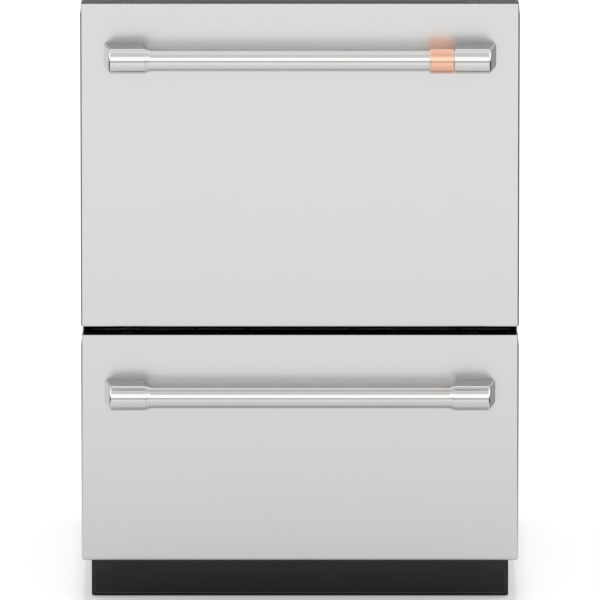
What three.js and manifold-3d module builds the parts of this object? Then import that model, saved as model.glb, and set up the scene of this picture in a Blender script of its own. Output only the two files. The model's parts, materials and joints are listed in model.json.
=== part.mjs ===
// A built-in double-drawer dishwasher: two steel-fronted wash drawers on telescopic runners in one shell.
// Millimetres. x runs to the right, y to the back and z up. The origin is on the floor, under the
// middle of the whole machine, handles included.
import * as THREE from 'three';
import { mergeVertices } from 'three/addons/utils/BufferGeometryUtils.js';
import Module from 'manifold-3d';

const wasm = await Module();
wasm.setup();

// ---------------------------------------------------------------------------------------------
// Driving dimensions
// ---------------------------------------------------------------------------------------------

const CLEARANCE = 0.3; // between pieces that rest on or slide in each other
const ROUND_SIDES = 40; // facets of the handle's round parts
const SMALL_ROUND_SIDES = 20; // facets of feet, pumps and fittings

// The fronts and the shell
const FRONT_WIDTH = 599;
const TOE_HEIGHT = 67; // floor to the lower front's bottom edge
const LOWER_FRONT_HEIGHT = 317;
const FRONT_GAP = 11; // between the two fronts
const UPPER_FRONT_HEIGHT = 451;
const BODY_DEPTH = 570; // face of the fronts to the back
const SHELL_SIDE_INSET = 1.5; // fronts' ends to the shell's sides
const SHELL_SHEET = 1.5;
const SHELL_SETBACK = 40; // face of the fronts to the shell's front edge
const COVER_DROP = 3.5; // the top cover lies this far below the upper front's top edge
const COVER_FLANGE = 18;

// A drawer front: steel skin, plastic liner behind it, glossy cap on top
const FRONT_THICKNESS = 36;
const SKIN_SHEET = 1.2;
const SKIN_RETURN = 24; // depth of the skin's folded sides
const SKIN_EDGE_RADIUS = 2.2;
const LINER_INSET = 3;
const LINER_WALL = 3;
const CAP_HEIGHT = 12;
const CAP_DEPTH = 33;
const CAP_SIDE_INSET = 1.2;
const CAP_CORNER_WIDTH = 9;
const CAP_CORNER_DEPTH = 26;

// Push buttons in the cap
const BUTTON_LENGTH = 16;
const BUTTON_DEPTH = 9;
const BUTTON_HEIGHT = 3;
const BUTTON_TRAVEL = 1;
const BUTTON_SINK = 0.2; // a button's top lies this far under the cap's top
const BUTTON_FROM_FRONT = 17;
const POWER_BUTTON_FROM_END = 63.5; // front's left end to the button's middle
const START_BUTTON_FROM_END = 63.5; // front's right end to the button's middle

// Handles
const BAR_DIAMETER = 28;
const BAR_WALL = 2;
const BAR_REACH = 42; // face of the front to the bar's axis
const UPPER_BAR_DROP = 71; // front's top edge to the bar's axis
const LOWER_BAR_DROP = 79;
const BRACKET_HEIGHT = 34;
const BRACKET_END_INSET = 32; // front's end to the bracket's foot
const BRACKET_FOOT_LENGTH = 54.5;
const BRACKET_OUTER_SLANT = 7.5; // how far each side face leans in, from the foot to the front
const BRACKET_INNER_SLANT = 3;
const BRACKET_CHAMFER = 3.2;
const SHOULDER_LENGTH = 5;
const SOCKET_DEPTH = 14;
const BAND_DIAMETER = 33.4;
const BAND_LENGTH = 33;

// Tubs
const TUB_SIDE_GAP = 32.5; // shell's side to the tub's wall, filled by the runners
const TUB_WALL = 2.5;
const TUB_CORNER_RADIUS = 30;
const TUB_BACK_GAP = 24; // between the tub's rear rim and the back of the machine
const RIM_WIDTH = 6;
const RIM_THICKNESS = 3;
const RIM_DROP = 30; // front's top edge to the tub's rim
const UNDER_TUB_CLEARANCE = 19; // front's bottom edge to the pump's underside
const WELL_RADIUS = 74;
const WELL_DEPTH = 20;

// What stands in and under a tub
const PUMP_HEIGHT = 46;
const VOLUTE_RADIUS = 84;
const VOLUTE_HEIGHT = 16;
const MOTOR_RADIUS = 46;
const DRAIN_PUMP_RADIUS = 17;
const DRAIN_PUMP_LENGTH = 120;
const FILTER_RADIUS = 88;
const FILTER_THICKNESS = 2;
const POST_RADIUS = 9;
const POST_HEIGHT = 24;
const ARM_RADIUS = 214;
const ARM_HUB_RADIUS = 20;
const ARM_ROOT_WIDTH = 52;
const ARM_TIP_WIDTH = 30;
const ARM_THICKNESS = 11;
const ARM_ROOF = 3;

// Baskets
const BASKET_WIRE = 4;
const BASKET_SIDE_GAP = 12; // basket to tub wall, at the sides and the back
const BASKET_FRONT_GAP = 36;
const BASKET_LIFT = 52; // tub floor to the basket's floor
const UPPER_BASKET_HEIGHT = 176;
const LOWER_BASKET_HEIGHT = 118;
const BASKET_CELLS_ACROSS = 6;
const BASKET_CELLS_DEEP = 5;
const BASKET_CELLS_HIGH = 2;

// Detergent dispensers
const DISPENSER_WIDTH = 132;
const DISPENSER_DEPTH = 22;
const DISPENSER_HEIGHT = 74;
const DISPENSER_DROP = 26; // tub's rim to the dispenser's top
const CUP_WIDTH = 54;
const CUP_HEIGHT = 46;
const CUP_DEPTH = 15;
const COVER_MARGIN = 4; // a cup's cover laps its rim by this much
const COVER_THICKNESS = 3;
const LIP_THICKNESS = 2;
const LIP_LAP = 3;
const GRIP_HEIGHT = 14;

// Lids over the tubs
const SEAL_HEIGHT = 4;
const SEAL_WIDTH = 8;
const LID_THICKNESS = 10;
const LID_SIDE_GAP = 6; // lid to the shell's side
const LEDGE_THICKNESS = 2;
const LEDGE_GAP = 4; // tub's rim to the ledge that carries the lid

// Telescopic runners
const RUNNER_HEIGHT = 45;
const RUNNER_DEPTH = 14;
const RUNNER_SHEET = 1.5;
const RUNNER_LIFT = 66; // tub's underside to the runner's middle
const RUNNER_SETBACK = 2; // shell's front edge to the runner
const RUNNER_BACK_GAP = 30; // runner to the back of the machine

// Base
const KICK_SIDE_INSET = 12.5; // fronts' ends to the kick plate's ends
const KICK_HEIGHT = 78;
const KICK_FLOOR_GAP = 2;
const KICK_SETBACK = 61; // face of the fronts to the kick plate's face
const KICK_THICKNESS = 12;
const KICK_BEVEL = 2;
const BASE_SIDE_INSET = 3; // base behind the kick plate's ends
const BASE_HEIGHT = 32;
const FOOT_HEIGHT = 30;
const FOOT_RADIUS = 22;
const FOOT_PAD = 6;
const FOOT_STEM_RADIUS = 6;
const FOOT_NUT_RADIUS = 10;
const FOOT_NUT_HEIGHT = 8;
const FOOT_EDGE_GAP = 12; // foot's edge to the base's edge
const SERVICE_RECESS = 28; // base's rear wall to the machine's back

// Water and mains fittings on the base's rear wall
const FITTING_FLANGE_RADIUS = 13;
const FITTING_FLANGE = 4;
const FITTING_LENGTH = 24;
const VALVE_FROM_END = 94; // base's end to the fitting's axis
const VALVE_THREAD_RADIUS = 11;
const DRAIN_FROM_END = 94;
const DRAIN_SPIGOT_RADIUS = 9;
const GLAND_FROM_END = 164;
const GLAND_RADIUS = 7;

// ---------------------------------------------------------------------------------------------
// Worked out from the driving dimensions
// ---------------------------------------------------------------------------------------------

const HANDLE_REACH = BAR_REACH + BRACKET_HEIGHT / 2;
const FACE_Y = HANDLE_REACH - (BODY_DEPTH + HANDLE_REACH) / 2;
const UPPER_FRONT_BOTTOM = TOE_HEIGHT + LOWER_FRONT_HEIGHT + FRONT_GAP;
const SHELL_TOP = UPPER_FRONT_BOTTOM + UPPER_FRONT_HEIGHT - COVER_DROP;
const SHELL_BOTTOM = FOOT_HEIGHT + CLEARANCE + BASE_HEIGHT;
const SHELL_WIDTH = FRONT_WIDTH - 2 * SHELL_SIDE_INSET;
const SHELL_INSIDE = SHELL_WIDTH / 2 - SHELL_SHEET;

// Half distances between the two brackets of a handle
const BRACKET_OUTER_BACK = FRONT_WIDTH / 2 - BRACKET_END_INSET;
const BRACKET_OUTER_FRONT = BRACKET_OUTER_BACK - BRACKET_OUTER_SLANT;
const BRACKET_INNER_BACK = BRACKET_OUTER_BACK - BRACKET_FOOT_LENGTH;
const BRACKET_INNER_FRONT = BRACKET_INNER_BACK - BRACKET_INNER_SLANT;

const TUB_HALF = SHELL_INSIDE - TUB_SIDE_GAP;
const TUB_FRONT = FRONT_THICKNESS + CLEARANCE + RIM_WIDTH;
const TUB_BACK = BODY_DEPTH - TUB_BACK_GAP - RIM_WIDTH;
const TUB_BOTTOM = UNDER_TUB_CLEARANCE + PUMP_HEIGHT + CLEARANCE + WELL_DEPTH;
const TUB_FLOOR = TUB_BOTTOM + TUB_WALL;
const TUB_MIDDLE = (TUB_FRONT + TUB_BACK) / 2;
const POST_TOP = TUB_FLOOR + CLEARANCE + FILTER_THICKNESS + POST_HEIGHT;
const LEDGE_INNER = TUB_HALF + RIM_WIDTH + LEDGE_GAP;
const RUNNER_STEP = RUNNER_SHEET + CLEARANCE; // from one nested section to the next
const RUNNER_FRONT = SHELL_SETBACK + RUNNER_SETBACK;
const RUNNER_LENGTH = BODY_DEPTH - RUNNER_FRONT - RUNNER_BACK_GAP;
const LID_HALF = SHELL_INSIDE - LID_SIDE_GAP;
const KICK_WIDTH = FRONT_WIDTH - 2 * KICK_SIDE_INSET;
const BASE_HALF = KICK_WIDTH / 2 - BASE_SIDE_INSET;
const BASE_FRONT = KICK_SETBACK + KICK_THICKNESS + CLEARANCE;
const BASE_BACK = BODY_DEPTH - SERVICE_RECESS;

// One bay for each drawer, with what differs between the two.
const BAYS = [
  {
    name: 'upper',
    bottom: UPPER_FRONT_BOTTOM,
    height: UPPER_FRONT_HEIGHT,
    barDrop: UPPER_BAR_DROP,
    basketHeight: UPPER_BASKET_HEIGHT,
    banded: true,
  },
  {
    name: 'lower',
    bottom: TOE_HEIGHT,
    height: LOWER_FRONT_HEIGHT,
    barDrop: LOWER_BAR_DROP,
    basketHeight: LOWER_BASKET_HEIGHT,
    banded: false,
  },
];
const SIDES = [
  { name: 'left', sign: -1 },
  { name: 'right', sign: 1 },
];

/** Underside of a bay's lid, above that bay's bottom. */
const lidBottom = (bay) => bay.height - RIM_DROP + CLEARANCE + SEAL_HEIGHT + CLEARANCE;

// ---------------------------------------------------------------------------------------------
// Finishes
// ---------------------------------------------------------------------------------------------

const FINISHES = {
  brushedSteel: { color: 0xd4d5d6, roughness: 0.34, metalness: 0.9 },
  handleSteel: { color: 0xdadada, roughness: 0.26, metalness: 0.95 },
  copper: { color: 0xe9a888, roughness: 0.3, metalness: 0.95 },
  blackGloss: { color: 0x121214, roughness: 0.12, metalness: 0.0 },
  blackPlastic: { color: 0x1c1c1e, roughness: 0.5, metalness: 0.0 },
  tubPlastic: { color: 0xb9bdc1, roughness: 0.45, metalness: 0.0 },
  whitePlastic: { color: 0xe4e5e6, roughness: 0.45, metalness: 0.0 },
  greyPlastic: { color: 0x85898d, roughness: 0.5, metalness: 0.0 },
  coatedWire: { color: 0xc4c8cc, roughness: 0.4, metalness: 0.0 },
  galvanised: { color: 0xa9adb0, roughness: 0.45, metalness: 0.8 },
  rubber: { color: 0x2b2c2e, roughness: 0.8, metalness: 0.0 },
  brass: { color: 0xc4a254, roughness: 0.35, metalness: 0.9 },
};

// ---------------------------------------------------------------------------------------------
// Shape tools
// ---------------------------------------------------------------------------------------------

/** A closed geometry as a solid that can be joined and cut. */
function solid(geometry) {
  const bare = geometry.clone();
  bare.deleteAttribute('normal');
  bare.deleteAttribute('uv');
  const merged = mergeVertices(bare);
  return new wasm.Manifold(new wasm.Mesh({
    numProp: 3,
    vertProperties: new Float32Array(merged.attributes.position.array),
    triVerts: new Uint32Array(merged.index.array),
  }));
}

/** The geometry of a joined or cut solid. */
function surface(body) {
  const { vertProperties, triVerts } = body.getMesh();
  const geometry = new THREE.BufferGeometry();
  geometry.setAttribute('position', new THREE.BufferAttribute(vertProperties, 3));
  geometry.setIndex(new THREE.BufferAttribute(triVerts, 1));
  geometry.computeVertexNormals();
  return geometry;
}

const join = (...geometries) => surface(geometries.map(solid).reduce((a, b) => a.add(b)));
const cut = (body, ...tools) => surface(tools.map(solid).reduce((a, b) => a.subtract(b), solid(body)));
const overlap = (one, other) => surface(solid(one).intersect(solid(other)));

/** A box centred on x, that starts at y = 0 and z = 0. */
const block = (width, depth, height) =>
  new THREE.BoxGeometry(width, depth, height).translate(0, depth / 2, height / 2);

const polygon = (corners) => new THREE.Shape(corners.map(([x, y]) => new THREE.Vector2(x, y)));

/** A plan outline raised along z. */
const raise = (outline, height, curveSegments = 6) =>
  new THREE.ExtrudeGeometry(outline, { depth: height, bevelEnabled: false, curveSegments });

/** A section drawn in x and z, run back along y. */
const runBack = (section, length) => raise(section, length).rotateX(Math.PI / 2).translate(0, length, 0);

/** A section drawn in y and z, run along x. */
function runAcross(section, length, curveSegments) {
  const turn = new THREE.Matrix4().makeBasis(
    new THREE.Vector3(0, 1, 0),
    new THREE.Vector3(0, 0, 1),
    new THREE.Vector3(1, 0, 0),
  );
  return raise(section, length, curveSegments).applyMatrix4(turn);
}

/** An upright round bar that starts at z = 0. */
const post = (radius, height, sides = SMALL_ROUND_SIDES) =>
  new THREE.CylinderGeometry(radius, radius, height, sides)
    .rotateX(Math.PI / 2)
    .translate(0, 0, height / 2);

/** A round bar or cone along x, from one place and radius to another. */
function spindle(fromX, fromRadius, toX, toRadius, sides = ROUND_SIDES) {
  const length = toX - fromX;
  return new THREE.CylinderGeometry(toRadius, fromRadius, length, sides)
    .rotateZ(-Math.PI / 2)
    .translate((fromX + toX) / 2, 0, 0);
}

/** A turned piece on the z axis, from its radius and height at each step, closed on the axis. */
function turned(steps, sides = SMALL_ROUND_SIDES) {
  const first = steps[0];
  const last = steps[steps.length - 1];
  const profile = [[0, first[1]], ...steps, [0, last[1]]];
  const points = profile.map(([radius, height]) => new THREE.Vector2(radius, height));
  return new THREE.LatheGeometry(points, sides).rotateX(Math.PI / 2);
}

/** A plan outline with four round corners. */
function roundedRectangle(left, right, front, back, radius) {
  const outline = new THREE.Shape();
  outline.moveTo(left + radius, front);
  outline.lineTo(right - radius, front);
  outline.absarc(right - radius, front + radius, radius, -Math.PI / 2, 0);
  outline.lineTo(right, back - radius);
  outline.absarc(right - radius, back - radius, radius, 0, Math.PI / 2);
  outline.lineTo(left + radius, back);
  outline.absarc(left + radius, back - radius, radius, Math.PI / 2, Math.PI);
  outline.lineTo(left, front + radius);
  outline.absarc(left + radius, front + radius, radius, Math.PI, 1.5 * Math.PI);
  return outline;
}

/** A named mesh with a material of its own. */
function piece(name, geometry, finish, x = 0, y = 0, z = 0) {
  const mesh = new THREE.Mesh(geometry, new THREE.MeshStandardMaterial(FINISHES[finish]));
  mesh.name = name;
  mesh.position.set(x, y, z);
  return mesh;
}

function group(children, x = 0, y = 0, z = 0) {
  const made = new THREE.Group();
  made.add(...children);
  made.position.set(x, y, z);
  return made;
}

// ---------------------------------------------------------------------------------------------
// Drawer front. Its frame starts on the front's face, at the middle of its bottom edge.
// ---------------------------------------------------------------------------------------------

/** Plan outline of the folded skin, with its two front corners rounded. */
function skinOutline(halfWidth, depth, radius) {
  const outline = new THREE.Shape();
  outline.moveTo(-halfWidth, depth);
  outline.lineTo(-halfWidth, radius);
  outline.absarc(-halfWidth + radius, radius, radius, Math.PI, 1.5 * Math.PI);
  outline.lineTo(halfWidth - radius, 0);
  outline.absarc(halfWidth - radius, radius, radius, 1.5 * Math.PI, 2 * Math.PI);
  outline.lineTo(halfWidth, depth);
  return outline;
}

/** Steel sheet folded back at the sides and bottom. Its sides stop under the cap. */
function frontSkin(bay) {
  const half = FRONT_WIDTH / 2;
  const sheet = raise(skinOutline(half, SKIN_RETURN, SKIN_EDGE_RADIUS), bay.height);
  const hollow = raise(
    skinOutline(half - SKIN_SHEET, SKIN_RETURN, Math.max(SKIN_EDGE_RADIUS - SKIN_SHEET, CLEARANCE)),
    bay.height,
  ).translate(0, SKIN_SHEET, SKIN_SHEET);
  const capSeat = block(FRONT_WIDTH * 2, SKIN_RETURN, CAP_HEIGHT * 2)
    .translate(0, SKIN_SHEET, bay.height - CAP_HEIGHT);
  return piece(`${bay.name}_front_skin`, cut(sheet, hollow, capSeat), 'brushedSteel');
}

/** Plastic backing that fills the skin and carries the tub. Hollow towards the skin. */
function frontLiner(bay) {
  const front = SKIN_SHEET + CLEARANCE;
  const height = bay.height - CAP_HEIGHT - CLEARANCE;
  const plugWidth = FRONT_WIDTH - 2 * front;
  const plug = block(plugWidth, SKIN_RETURN, height - front).translate(0, front, front);
  const plateDepth = FRONT_THICKNESS - SKIN_RETURN - CLEARANCE;
  const plate = block(FRONT_WIDTH - 2 * LINER_INSET, plateDepth, height - LINER_INSET)
    .translate(0, FRONT_THICKNESS - plateDepth, LINER_INSET);
  const hollow = block(
    plugWidth - 2 * LINER_WALL,
    FRONT_THICKNESS - LINER_WALL,
    height - front - 2 * LINER_WALL,
  ).translate(0, 0, front + LINER_WALL);
  return piece(`${bay.name}_front_liner`, cut(join(plug, plate), hollow), 'blackPlastic');
}

/** Where each button lies in the cap, in plan. */
const BUTTON_PLACES = [
  { name: 'power_button', x: POWER_BUTTON_FROM_END - FRONT_WIDTH / 2 },
  { name: 'start_button', x: FRONT_WIDTH / 2 - START_BUTTON_FROM_END },
];

/** Glossy trim along the front's top edge, rounded at its rear corners. */
function frontCap(bay) {
  const half = FRONT_WIDTH / 2 - CAP_SIDE_INSET;
  const front = SKIN_SHEET + CLEARANCE;
  const outline = new THREE.Shape();
  outline.moveTo(-half, front);
  outline.lineTo(half, front);
  outline.lineTo(half, CAP_DEPTH - CAP_CORNER_DEPTH);
  outline.quadraticCurveTo(half, CAP_DEPTH, half - CAP_CORNER_WIDTH, CAP_DEPTH);
  outline.lineTo(-half + CAP_CORNER_WIDTH, CAP_DEPTH);
  outline.quadraticCurveTo(-half, CAP_DEPTH, -half, CAP_DEPTH - CAP_CORNER_DEPTH);
  const pocketDepth = BUTTON_SINK + BUTTON_HEIGHT + BUTTON_TRAVEL + CLEARANCE;
  const pocket = block(BUTTON_LENGTH + 2 * CLEARANCE, BUTTON_DEPTH + 2 * CLEARANCE, CAP_HEIGHT);
  const pocketFront = BUTTON_FROM_FRONT - BUTTON_DEPTH / 2 - CLEARANCE;
  const pockets = BUTTON_PLACES.map(({ x }) =>
    pocket.clone().translate(x, pocketFront, CAP_HEIGHT - pocketDepth));
  const z = bay.height - CAP_HEIGHT;
  return piece(`${bay.name}_front_cap`, cut(raise(outline, CAP_HEIGHT), ...pockets), 'blackGloss', 0, 0, z);
}

function frontButtons(bay) {
  const z = bay.height - BUTTON_SINK - BUTTON_HEIGHT;
  const y = BUTTON_FROM_FRONT - BUTTON_DEPTH / 2;
  const button = block(BUTTON_LENGTH, BUTTON_DEPTH, BUTTON_HEIGHT);
  return BUTTON_PLACES.map(({ name, x }) => piece(`${bay.name}_${name}`, button, 'blackPlastic', x, y, z));
}

// ---------------------------------------------------------------------------------------------
// Handle. Its frame starts on the front's face, at the height of the bar's axis.
// ---------------------------------------------------------------------------------------------

/** A bracket that flares towards the front, flat above and below and round in front. */
function handleBracket(bay, side, shoulderLength) {
  const { sign } = side;
  const radius = BRACKET_HEIGHT / 2;
  const plan = polygon([
    [sign * BRACKET_INNER_BACK, -CLEARANCE],
    [sign * BRACKET_INNER_FRONT, -HANDLE_REACH],
    [sign * (BRACKET_OUTER_FRONT - BRACKET_CHAMFER), -HANDLE_REACH],
    [sign * BRACKET_OUTER_FRONT, -HANDLE_REACH + BRACKET_CHAMFER],
    [sign * BRACKET_OUTER_BACK, -CLEARANCE],
  ]);
  const section = new THREE.Shape();
  section.moveTo(0, -radius);
  section.lineTo(-BAR_REACH, -radius);
  section.absarc(-BAR_REACH, 0, radius, -Math.PI / 2, Math.PI / 2, true);
  section.lineTo(0, radius);
  const wide = 2 * BRACKET_OUTER_BACK;
  const body = overlap(
    raise(plan, BRACKET_HEIGHT).translate(0, 0, -radius),
    runAcross(section, wide, ROUND_SIDES / 2).translate(-wide / 2, 0, 0),
  );
  const barRadius = BAR_DIAMETER / 2;
  const socketRadius = barRadius + CLEARANCE;
  const socket = sideSpindle(
    sign,
    BRACKET_INNER_FRONT - 2 * SHOULDER_LENGTH,
    socketRadius,
    BRACKET_INNER_FRONT + SOCKET_DEPTH,
    socketRadius,
  );
  if (shoulderLength === 0) {
    return piece(`${bay.name}_handle_bracket_${side.name}`, cut(body, socket), 'handleSteel');
  }
  const shoulder = sideSpindle(
    sign,
    BRACKET_INNER_FRONT - shoulderLength,
    socketRadius + CLEARANCE,
    BRACKET_INNER_BACK,
    radius,
  );
  const whole = join(body, shoulder);
  return piece(`${bay.name}_handle_bracket_${side.name}`, cut(whole, socket), 'handleSteel');
}

/** A spindle on the bar's axis, given by its distances from the middle of the front. */
function sideSpindle(sign, innerX, innerRadius, outerX, outerRadius) {
  const made = sign > 0
    ? spindle(innerX, innerRadius, outerX, outerRadius)
    : spindle(-outerX, outerRadius, -innerX, innerRadius);
  return made.translate(0, -BAR_REACH, 0);
}

function handle(bay) {
  const barEnd = BRACKET_INNER_FRONT + SOCKET_DEPTH - CLEARANCE;
  const barRadius = BAR_DIAMETER / 2;
  const boreRadius = barRadius - BAR_WALL;
  const bar = cut(
    spindle(-barEnd, barRadius, barEnd, barRadius),
    spindle(-2 * barEnd, boreRadius, 2 * barEnd, boreRadius),
  );
  const pieces = [piece(`${bay.name}_handle_bar`, bar, 'handleSteel', 0, -BAR_REACH)];
  for (const side of SIDES) {
    const bandHere = bay.banded && side.sign > 0;
    pieces.push(handleBracket(bay, side, bandHere ? 0 : SHOULDER_LENGTH));
  }
  if (bay.banded) {
    // The band ends where the bracket's slanting side crosses the bar's axis, less the clearance.
    const slant = (BRACKET_INNER_BACK - BRACKET_INNER_FRONT) / HANDLE_REACH;
    const bandEnd = BRACKET_INNER_FRONT - slant * CLEARANCE - CLEARANCE;
    const band = cut(
      spindle(bandEnd - BAND_LENGTH, BAND_DIAMETER / 2, bandEnd, BAND_DIAMETER / 2),
      spindle(0, barRadius + CLEARANCE, 2 * bandEnd, barRadius + CLEARANCE),
    );
    pieces.push(piece(`${bay.name}_handle_band`, band, 'copper', 0, -BAR_REACH));
  }
  return group(pieces, 0, 0, bay.height - bay.barDrop);
}

// ---------------------------------------------------------------------------------------------
// Tub and what it holds. Same frame as the front.
// ---------------------------------------------------------------------------------------------

/** The tub's plan outline, grown or shrunk all round. */
const tubOutline = (growth) => roundedRectangle(
  -TUB_HALF - growth,
  TUB_HALF + growth,
  TUB_FRONT - growth,
  TUB_BACK + growth,
  TUB_CORNER_RADIUS + growth,
);

/** Open tub with an outward rim and a round well in its floor. */
function tub(bay) {
  const rim = bay.height - RIM_DROP;
  const shell = raise(tubOutline(0), rim - TUB_BOTTOM).translate(0, 0, TUB_BOTTOM);
  const flange = raise(tubOutline(RIM_WIDTH), RIM_THICKNESS).translate(0, 0, rim - RIM_THICKNESS);
  const wellShell = post(WELL_RADIUS + TUB_WALL, WELL_DEPTH + TUB_WALL)
    .translate(0, TUB_MIDDLE, TUB_BOTTOM - WELL_DEPTH);
  const inside = raise(tubOutline(-TUB_WALL), rim).translate(0, 0, TUB_FLOOR);
  const well = post(WELL_RADIUS, WELL_DEPTH * 2).translate(0, TUB_MIDDLE, TUB_FLOOR - WELL_DEPTH);
  return piece(`${bay.name}_tub`, cut(join(shell, flange, wellShell), inside, well), 'tubPlastic');
}

/** Circulation pump and its motor, with the drain pump lying beside it. */
function washPump(bay) {
  const volute = post(VOLUTE_RADIUS, VOLUTE_HEIGHT).translate(0, 0, PUMP_HEIGHT - VOLUTE_HEIGHT);
  const motor = post(MOTOR_RADIUS, PUMP_HEIGHT);
  const drainPump = spindle(0, DRAIN_PUMP_RADIUS, DRAIN_PUMP_LENGTH, DRAIN_PUMP_RADIUS, SMALL_ROUND_SIDES)
    .translate(0, 0, PUMP_HEIGHT / 2);
  const body = join(volute, motor, drainPump);
  return piece(`${bay.name}_wash_pump`, body, 'greyPlastic', 0, TUB_MIDDLE, UNDER_TUB_CLEARANCE);
}

/** Strainer disc over the well, with the post that the spray arm turns on. */
function filterPlate(bay) {
  const disc = post(FILTER_RADIUS, FILTER_THICKNESS);
  const stem = post(POST_RADIUS, FILTER_THICKNESS + POST_HEIGHT);
  const z = TUB_FLOOR + CLEARANCE;
  return piece(`${bay.name}_filter_plate`, join(disc, stem), 'galvanised', 0, TUB_MIDDLE, z);
}

/** Two tapered blades with round tips, on a hub that caps the post. */
function sprayArm(bay) {
  const root = ARM_ROOT_WIDTH / 2;
  const tip = ARM_TIP_WIDTH / 2;
  const tipCentre = ARM_RADIUS - tip;
  const blades = new THREE.Shape();
  blades.moveTo(0, -root);
  blades.lineTo(tipCentre, -tip);
  blades.absarc(tipCentre, 0, tip, -Math.PI / 2, Math.PI / 2);
  blades.lineTo(0, root);
  blades.lineTo(-tipCentre, tip);
  blades.absarc(-tipCentre, 0, tip, Math.PI / 2, 1.5 * Math.PI);
  const hubBottom = TUB_FLOOR + CLEARANCE + FILTER_THICKNESS + CLEARANCE;
  const hubHeight = POST_TOP + CLEARANCE + ARM_ROOF - hubBottom;
  const hub = post(ARM_HUB_RADIUS, hubHeight);
  const arm = raise(blades, ARM_THICKNESS).translate(0, 0, hubHeight - ARM_THICKNESS);
  const bore = post(POST_RADIUS + CLEARANCE, hubHeight).translate(0, 0, -ARM_ROOF);
  return piece(`${bay.name}_spray_arm`, cut(join(hub, arm), bore), 'greyPlastic', 0, TUB_MIDDLE, hubBottom);
}

/** Even places from one end to the other, both ends included. */
const spread = (from, to, cells) =>
  Array.from({ length: cells + 1 }, (_, i) => from + ((to - from) * i) / cells);

/** Basket of crossing wires on four corner legs. */
function basket(bay) {
  const half = TUB_HALF - TUB_WALL - BASKET_SIDE_GAP - BASKET_WIRE / 2;
  const front = TUB_FRONT + TUB_WALL + BASKET_FRONT_GAP + BASKET_WIRE / 2;
  const back = TUB_BACK - TUB_WALL - BASKET_SIDE_GAP - BASKET_WIRE / 2;
  const floor = TUB_FLOOR + BASKET_LIFT;
  const wallHeight = bay.basketHeight - BASKET_WIRE;
  const columns = spread(-half, half, BASKET_CELLS_ACROSS);
  const rows = spread(front, back, BASKET_CELLS_DEEP);
  const levels = spread(0, wallHeight, BASKET_CELLS_HIGH);
  const wires = [];
  const along = (x, y0, y1, z) => wires.push(
    block(BASKET_WIRE, y1 - y0 + BASKET_WIRE, BASKET_WIRE).translate(x, y0 - BASKET_WIRE / 2, z));
  const across = (y, z) => wires.push(
    block(2 * half + BASKET_WIRE, BASKET_WIRE, BASKET_WIRE).translate(0, y - BASKET_WIRE / 2, z));
  const upright = (x, y) => wires.push(
    block(BASKET_WIRE, BASKET_WIRE, bay.basketHeight).translate(x, y - BASKET_WIRE / 2, 0));
  columns.slice(1, -1).forEach((x) => along(x, front, back, 0));
  rows.slice(1, -1).forEach((y) => across(y, 0));
  for (const z of levels) {
    [-half, half].forEach((x) => along(x, front, back, z));
    [front, back].forEach((y) => across(y, z));
  }
  columns.forEach((x) => [front, back].forEach((y) => upright(x, y)));
  rows.slice(1, -1).forEach((y) => [-half, half].forEach((x) => upright(x, y)));
  const legHeight = BASKET_LIFT - CLEARANCE;
  for (const x of [columns[0], columns[BASKET_CELLS_ACROSS]]) {
    for (const y of [rows[1], rows[BASKET_CELLS_DEEP - 1]]) {
      wires.push(block(BASKET_WIRE, BASKET_WIRE, legHeight + BASKET_WIRE)
        .translate(x, y - BASKET_WIRE / 2, -legHeight));
    }
  }
  return piece(`${bay.name}_basket`, join(...wires), 'coatedWire', 0, 0, floor);
}

/** Detergent dispenser on the tub's front wall: a cup, and a cover that slides between two lips. */
function dispenser(bay) {
  const cupX = (CUP_WIDTH + 2 * COVER_MARGIN) / 2;
  const coverHeight = CUP_HEIGHT + 2 * COVER_MARGIN;
  const coverBottom = (DISPENSER_HEIGHT - coverHeight) / 2;
  const coverWidth = CUP_WIDTH + 2 * COVER_MARGIN;
  const body = block(DISPENSER_WIDTH, DISPENSER_DEPTH, DISPENSER_HEIGHT);
  const cup = block(CUP_WIDTH, CUP_DEPTH * 2, CUP_HEIGHT)
    .translate(cupX, DISPENSER_DEPTH - CUP_DEPTH, coverBottom + COVER_MARGIN);
  const lipDepth = COVER_THICKNESS + 2 * CLEARANCE + LIP_THICKNESS;
  const hookInner = DISPENSER_DEPTH + lipDepth - LIP_THICKNESS;
  const lipSection = (z0, outward) => polygon([
    [DISPENSER_DEPTH - LIP_THICKNESS, z0],
    [hookInner, z0],
    [hookInner, z0 - outward * (LIP_LAP + CLEARANCE)],
    [DISPENSER_DEPTH + lipDepth, z0 - outward * (LIP_LAP + CLEARANCE)],
    [DISPENSER_DEPTH + lipDepth, z0 + outward * LIP_THICKNESS],
    [DISPENSER_DEPTH - LIP_THICKNESS, z0 + outward * LIP_THICKNESS],
  ]);
  const lip = (z0, outward) =>
    runAcross(lipSection(z0, outward), DISPENSER_WIDTH).translate(-DISPENSER_WIDTH / 2, 0, 0);
  const topLip = lip(coverBottom + coverHeight + CLEARANCE, 1);
  const bottomLip = lip(coverBottom - CLEARANCE, -1);
  const grip = block(LIP_LAP, LIP_THICKNESS + COVER_THICKNESS, GRIP_HEIGHT)
    .translate(0, 0, (coverHeight - GRIP_HEIGHT) / 2);
  const cover = join(block(coverWidth, COVER_THICKNESS, coverHeight), grip);
  const z = bay.height - RIM_DROP - DISPENSER_DROP - DISPENSER_HEIGHT;
  const y = TUB_FRONT + TUB_WALL + CLEARANCE;
  return group([
    piece(`${bay.name}_dispenser`, cut(join(body, topLip, bottomLip), cup), 'whitePlastic'),
    piece(
      `${bay.name}_dispenser_cover`,
      cover,
      'greyPlastic',
      cupX,
      DISPENSER_DEPTH + CLEARANCE,
      coverBottom,
    ),
  ], 0, y, z);
}

// ---------------------------------------------------------------------------------------------
// Runners. Three nested sections on each side of a drawer.
// ---------------------------------------------------------------------------------------------

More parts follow.
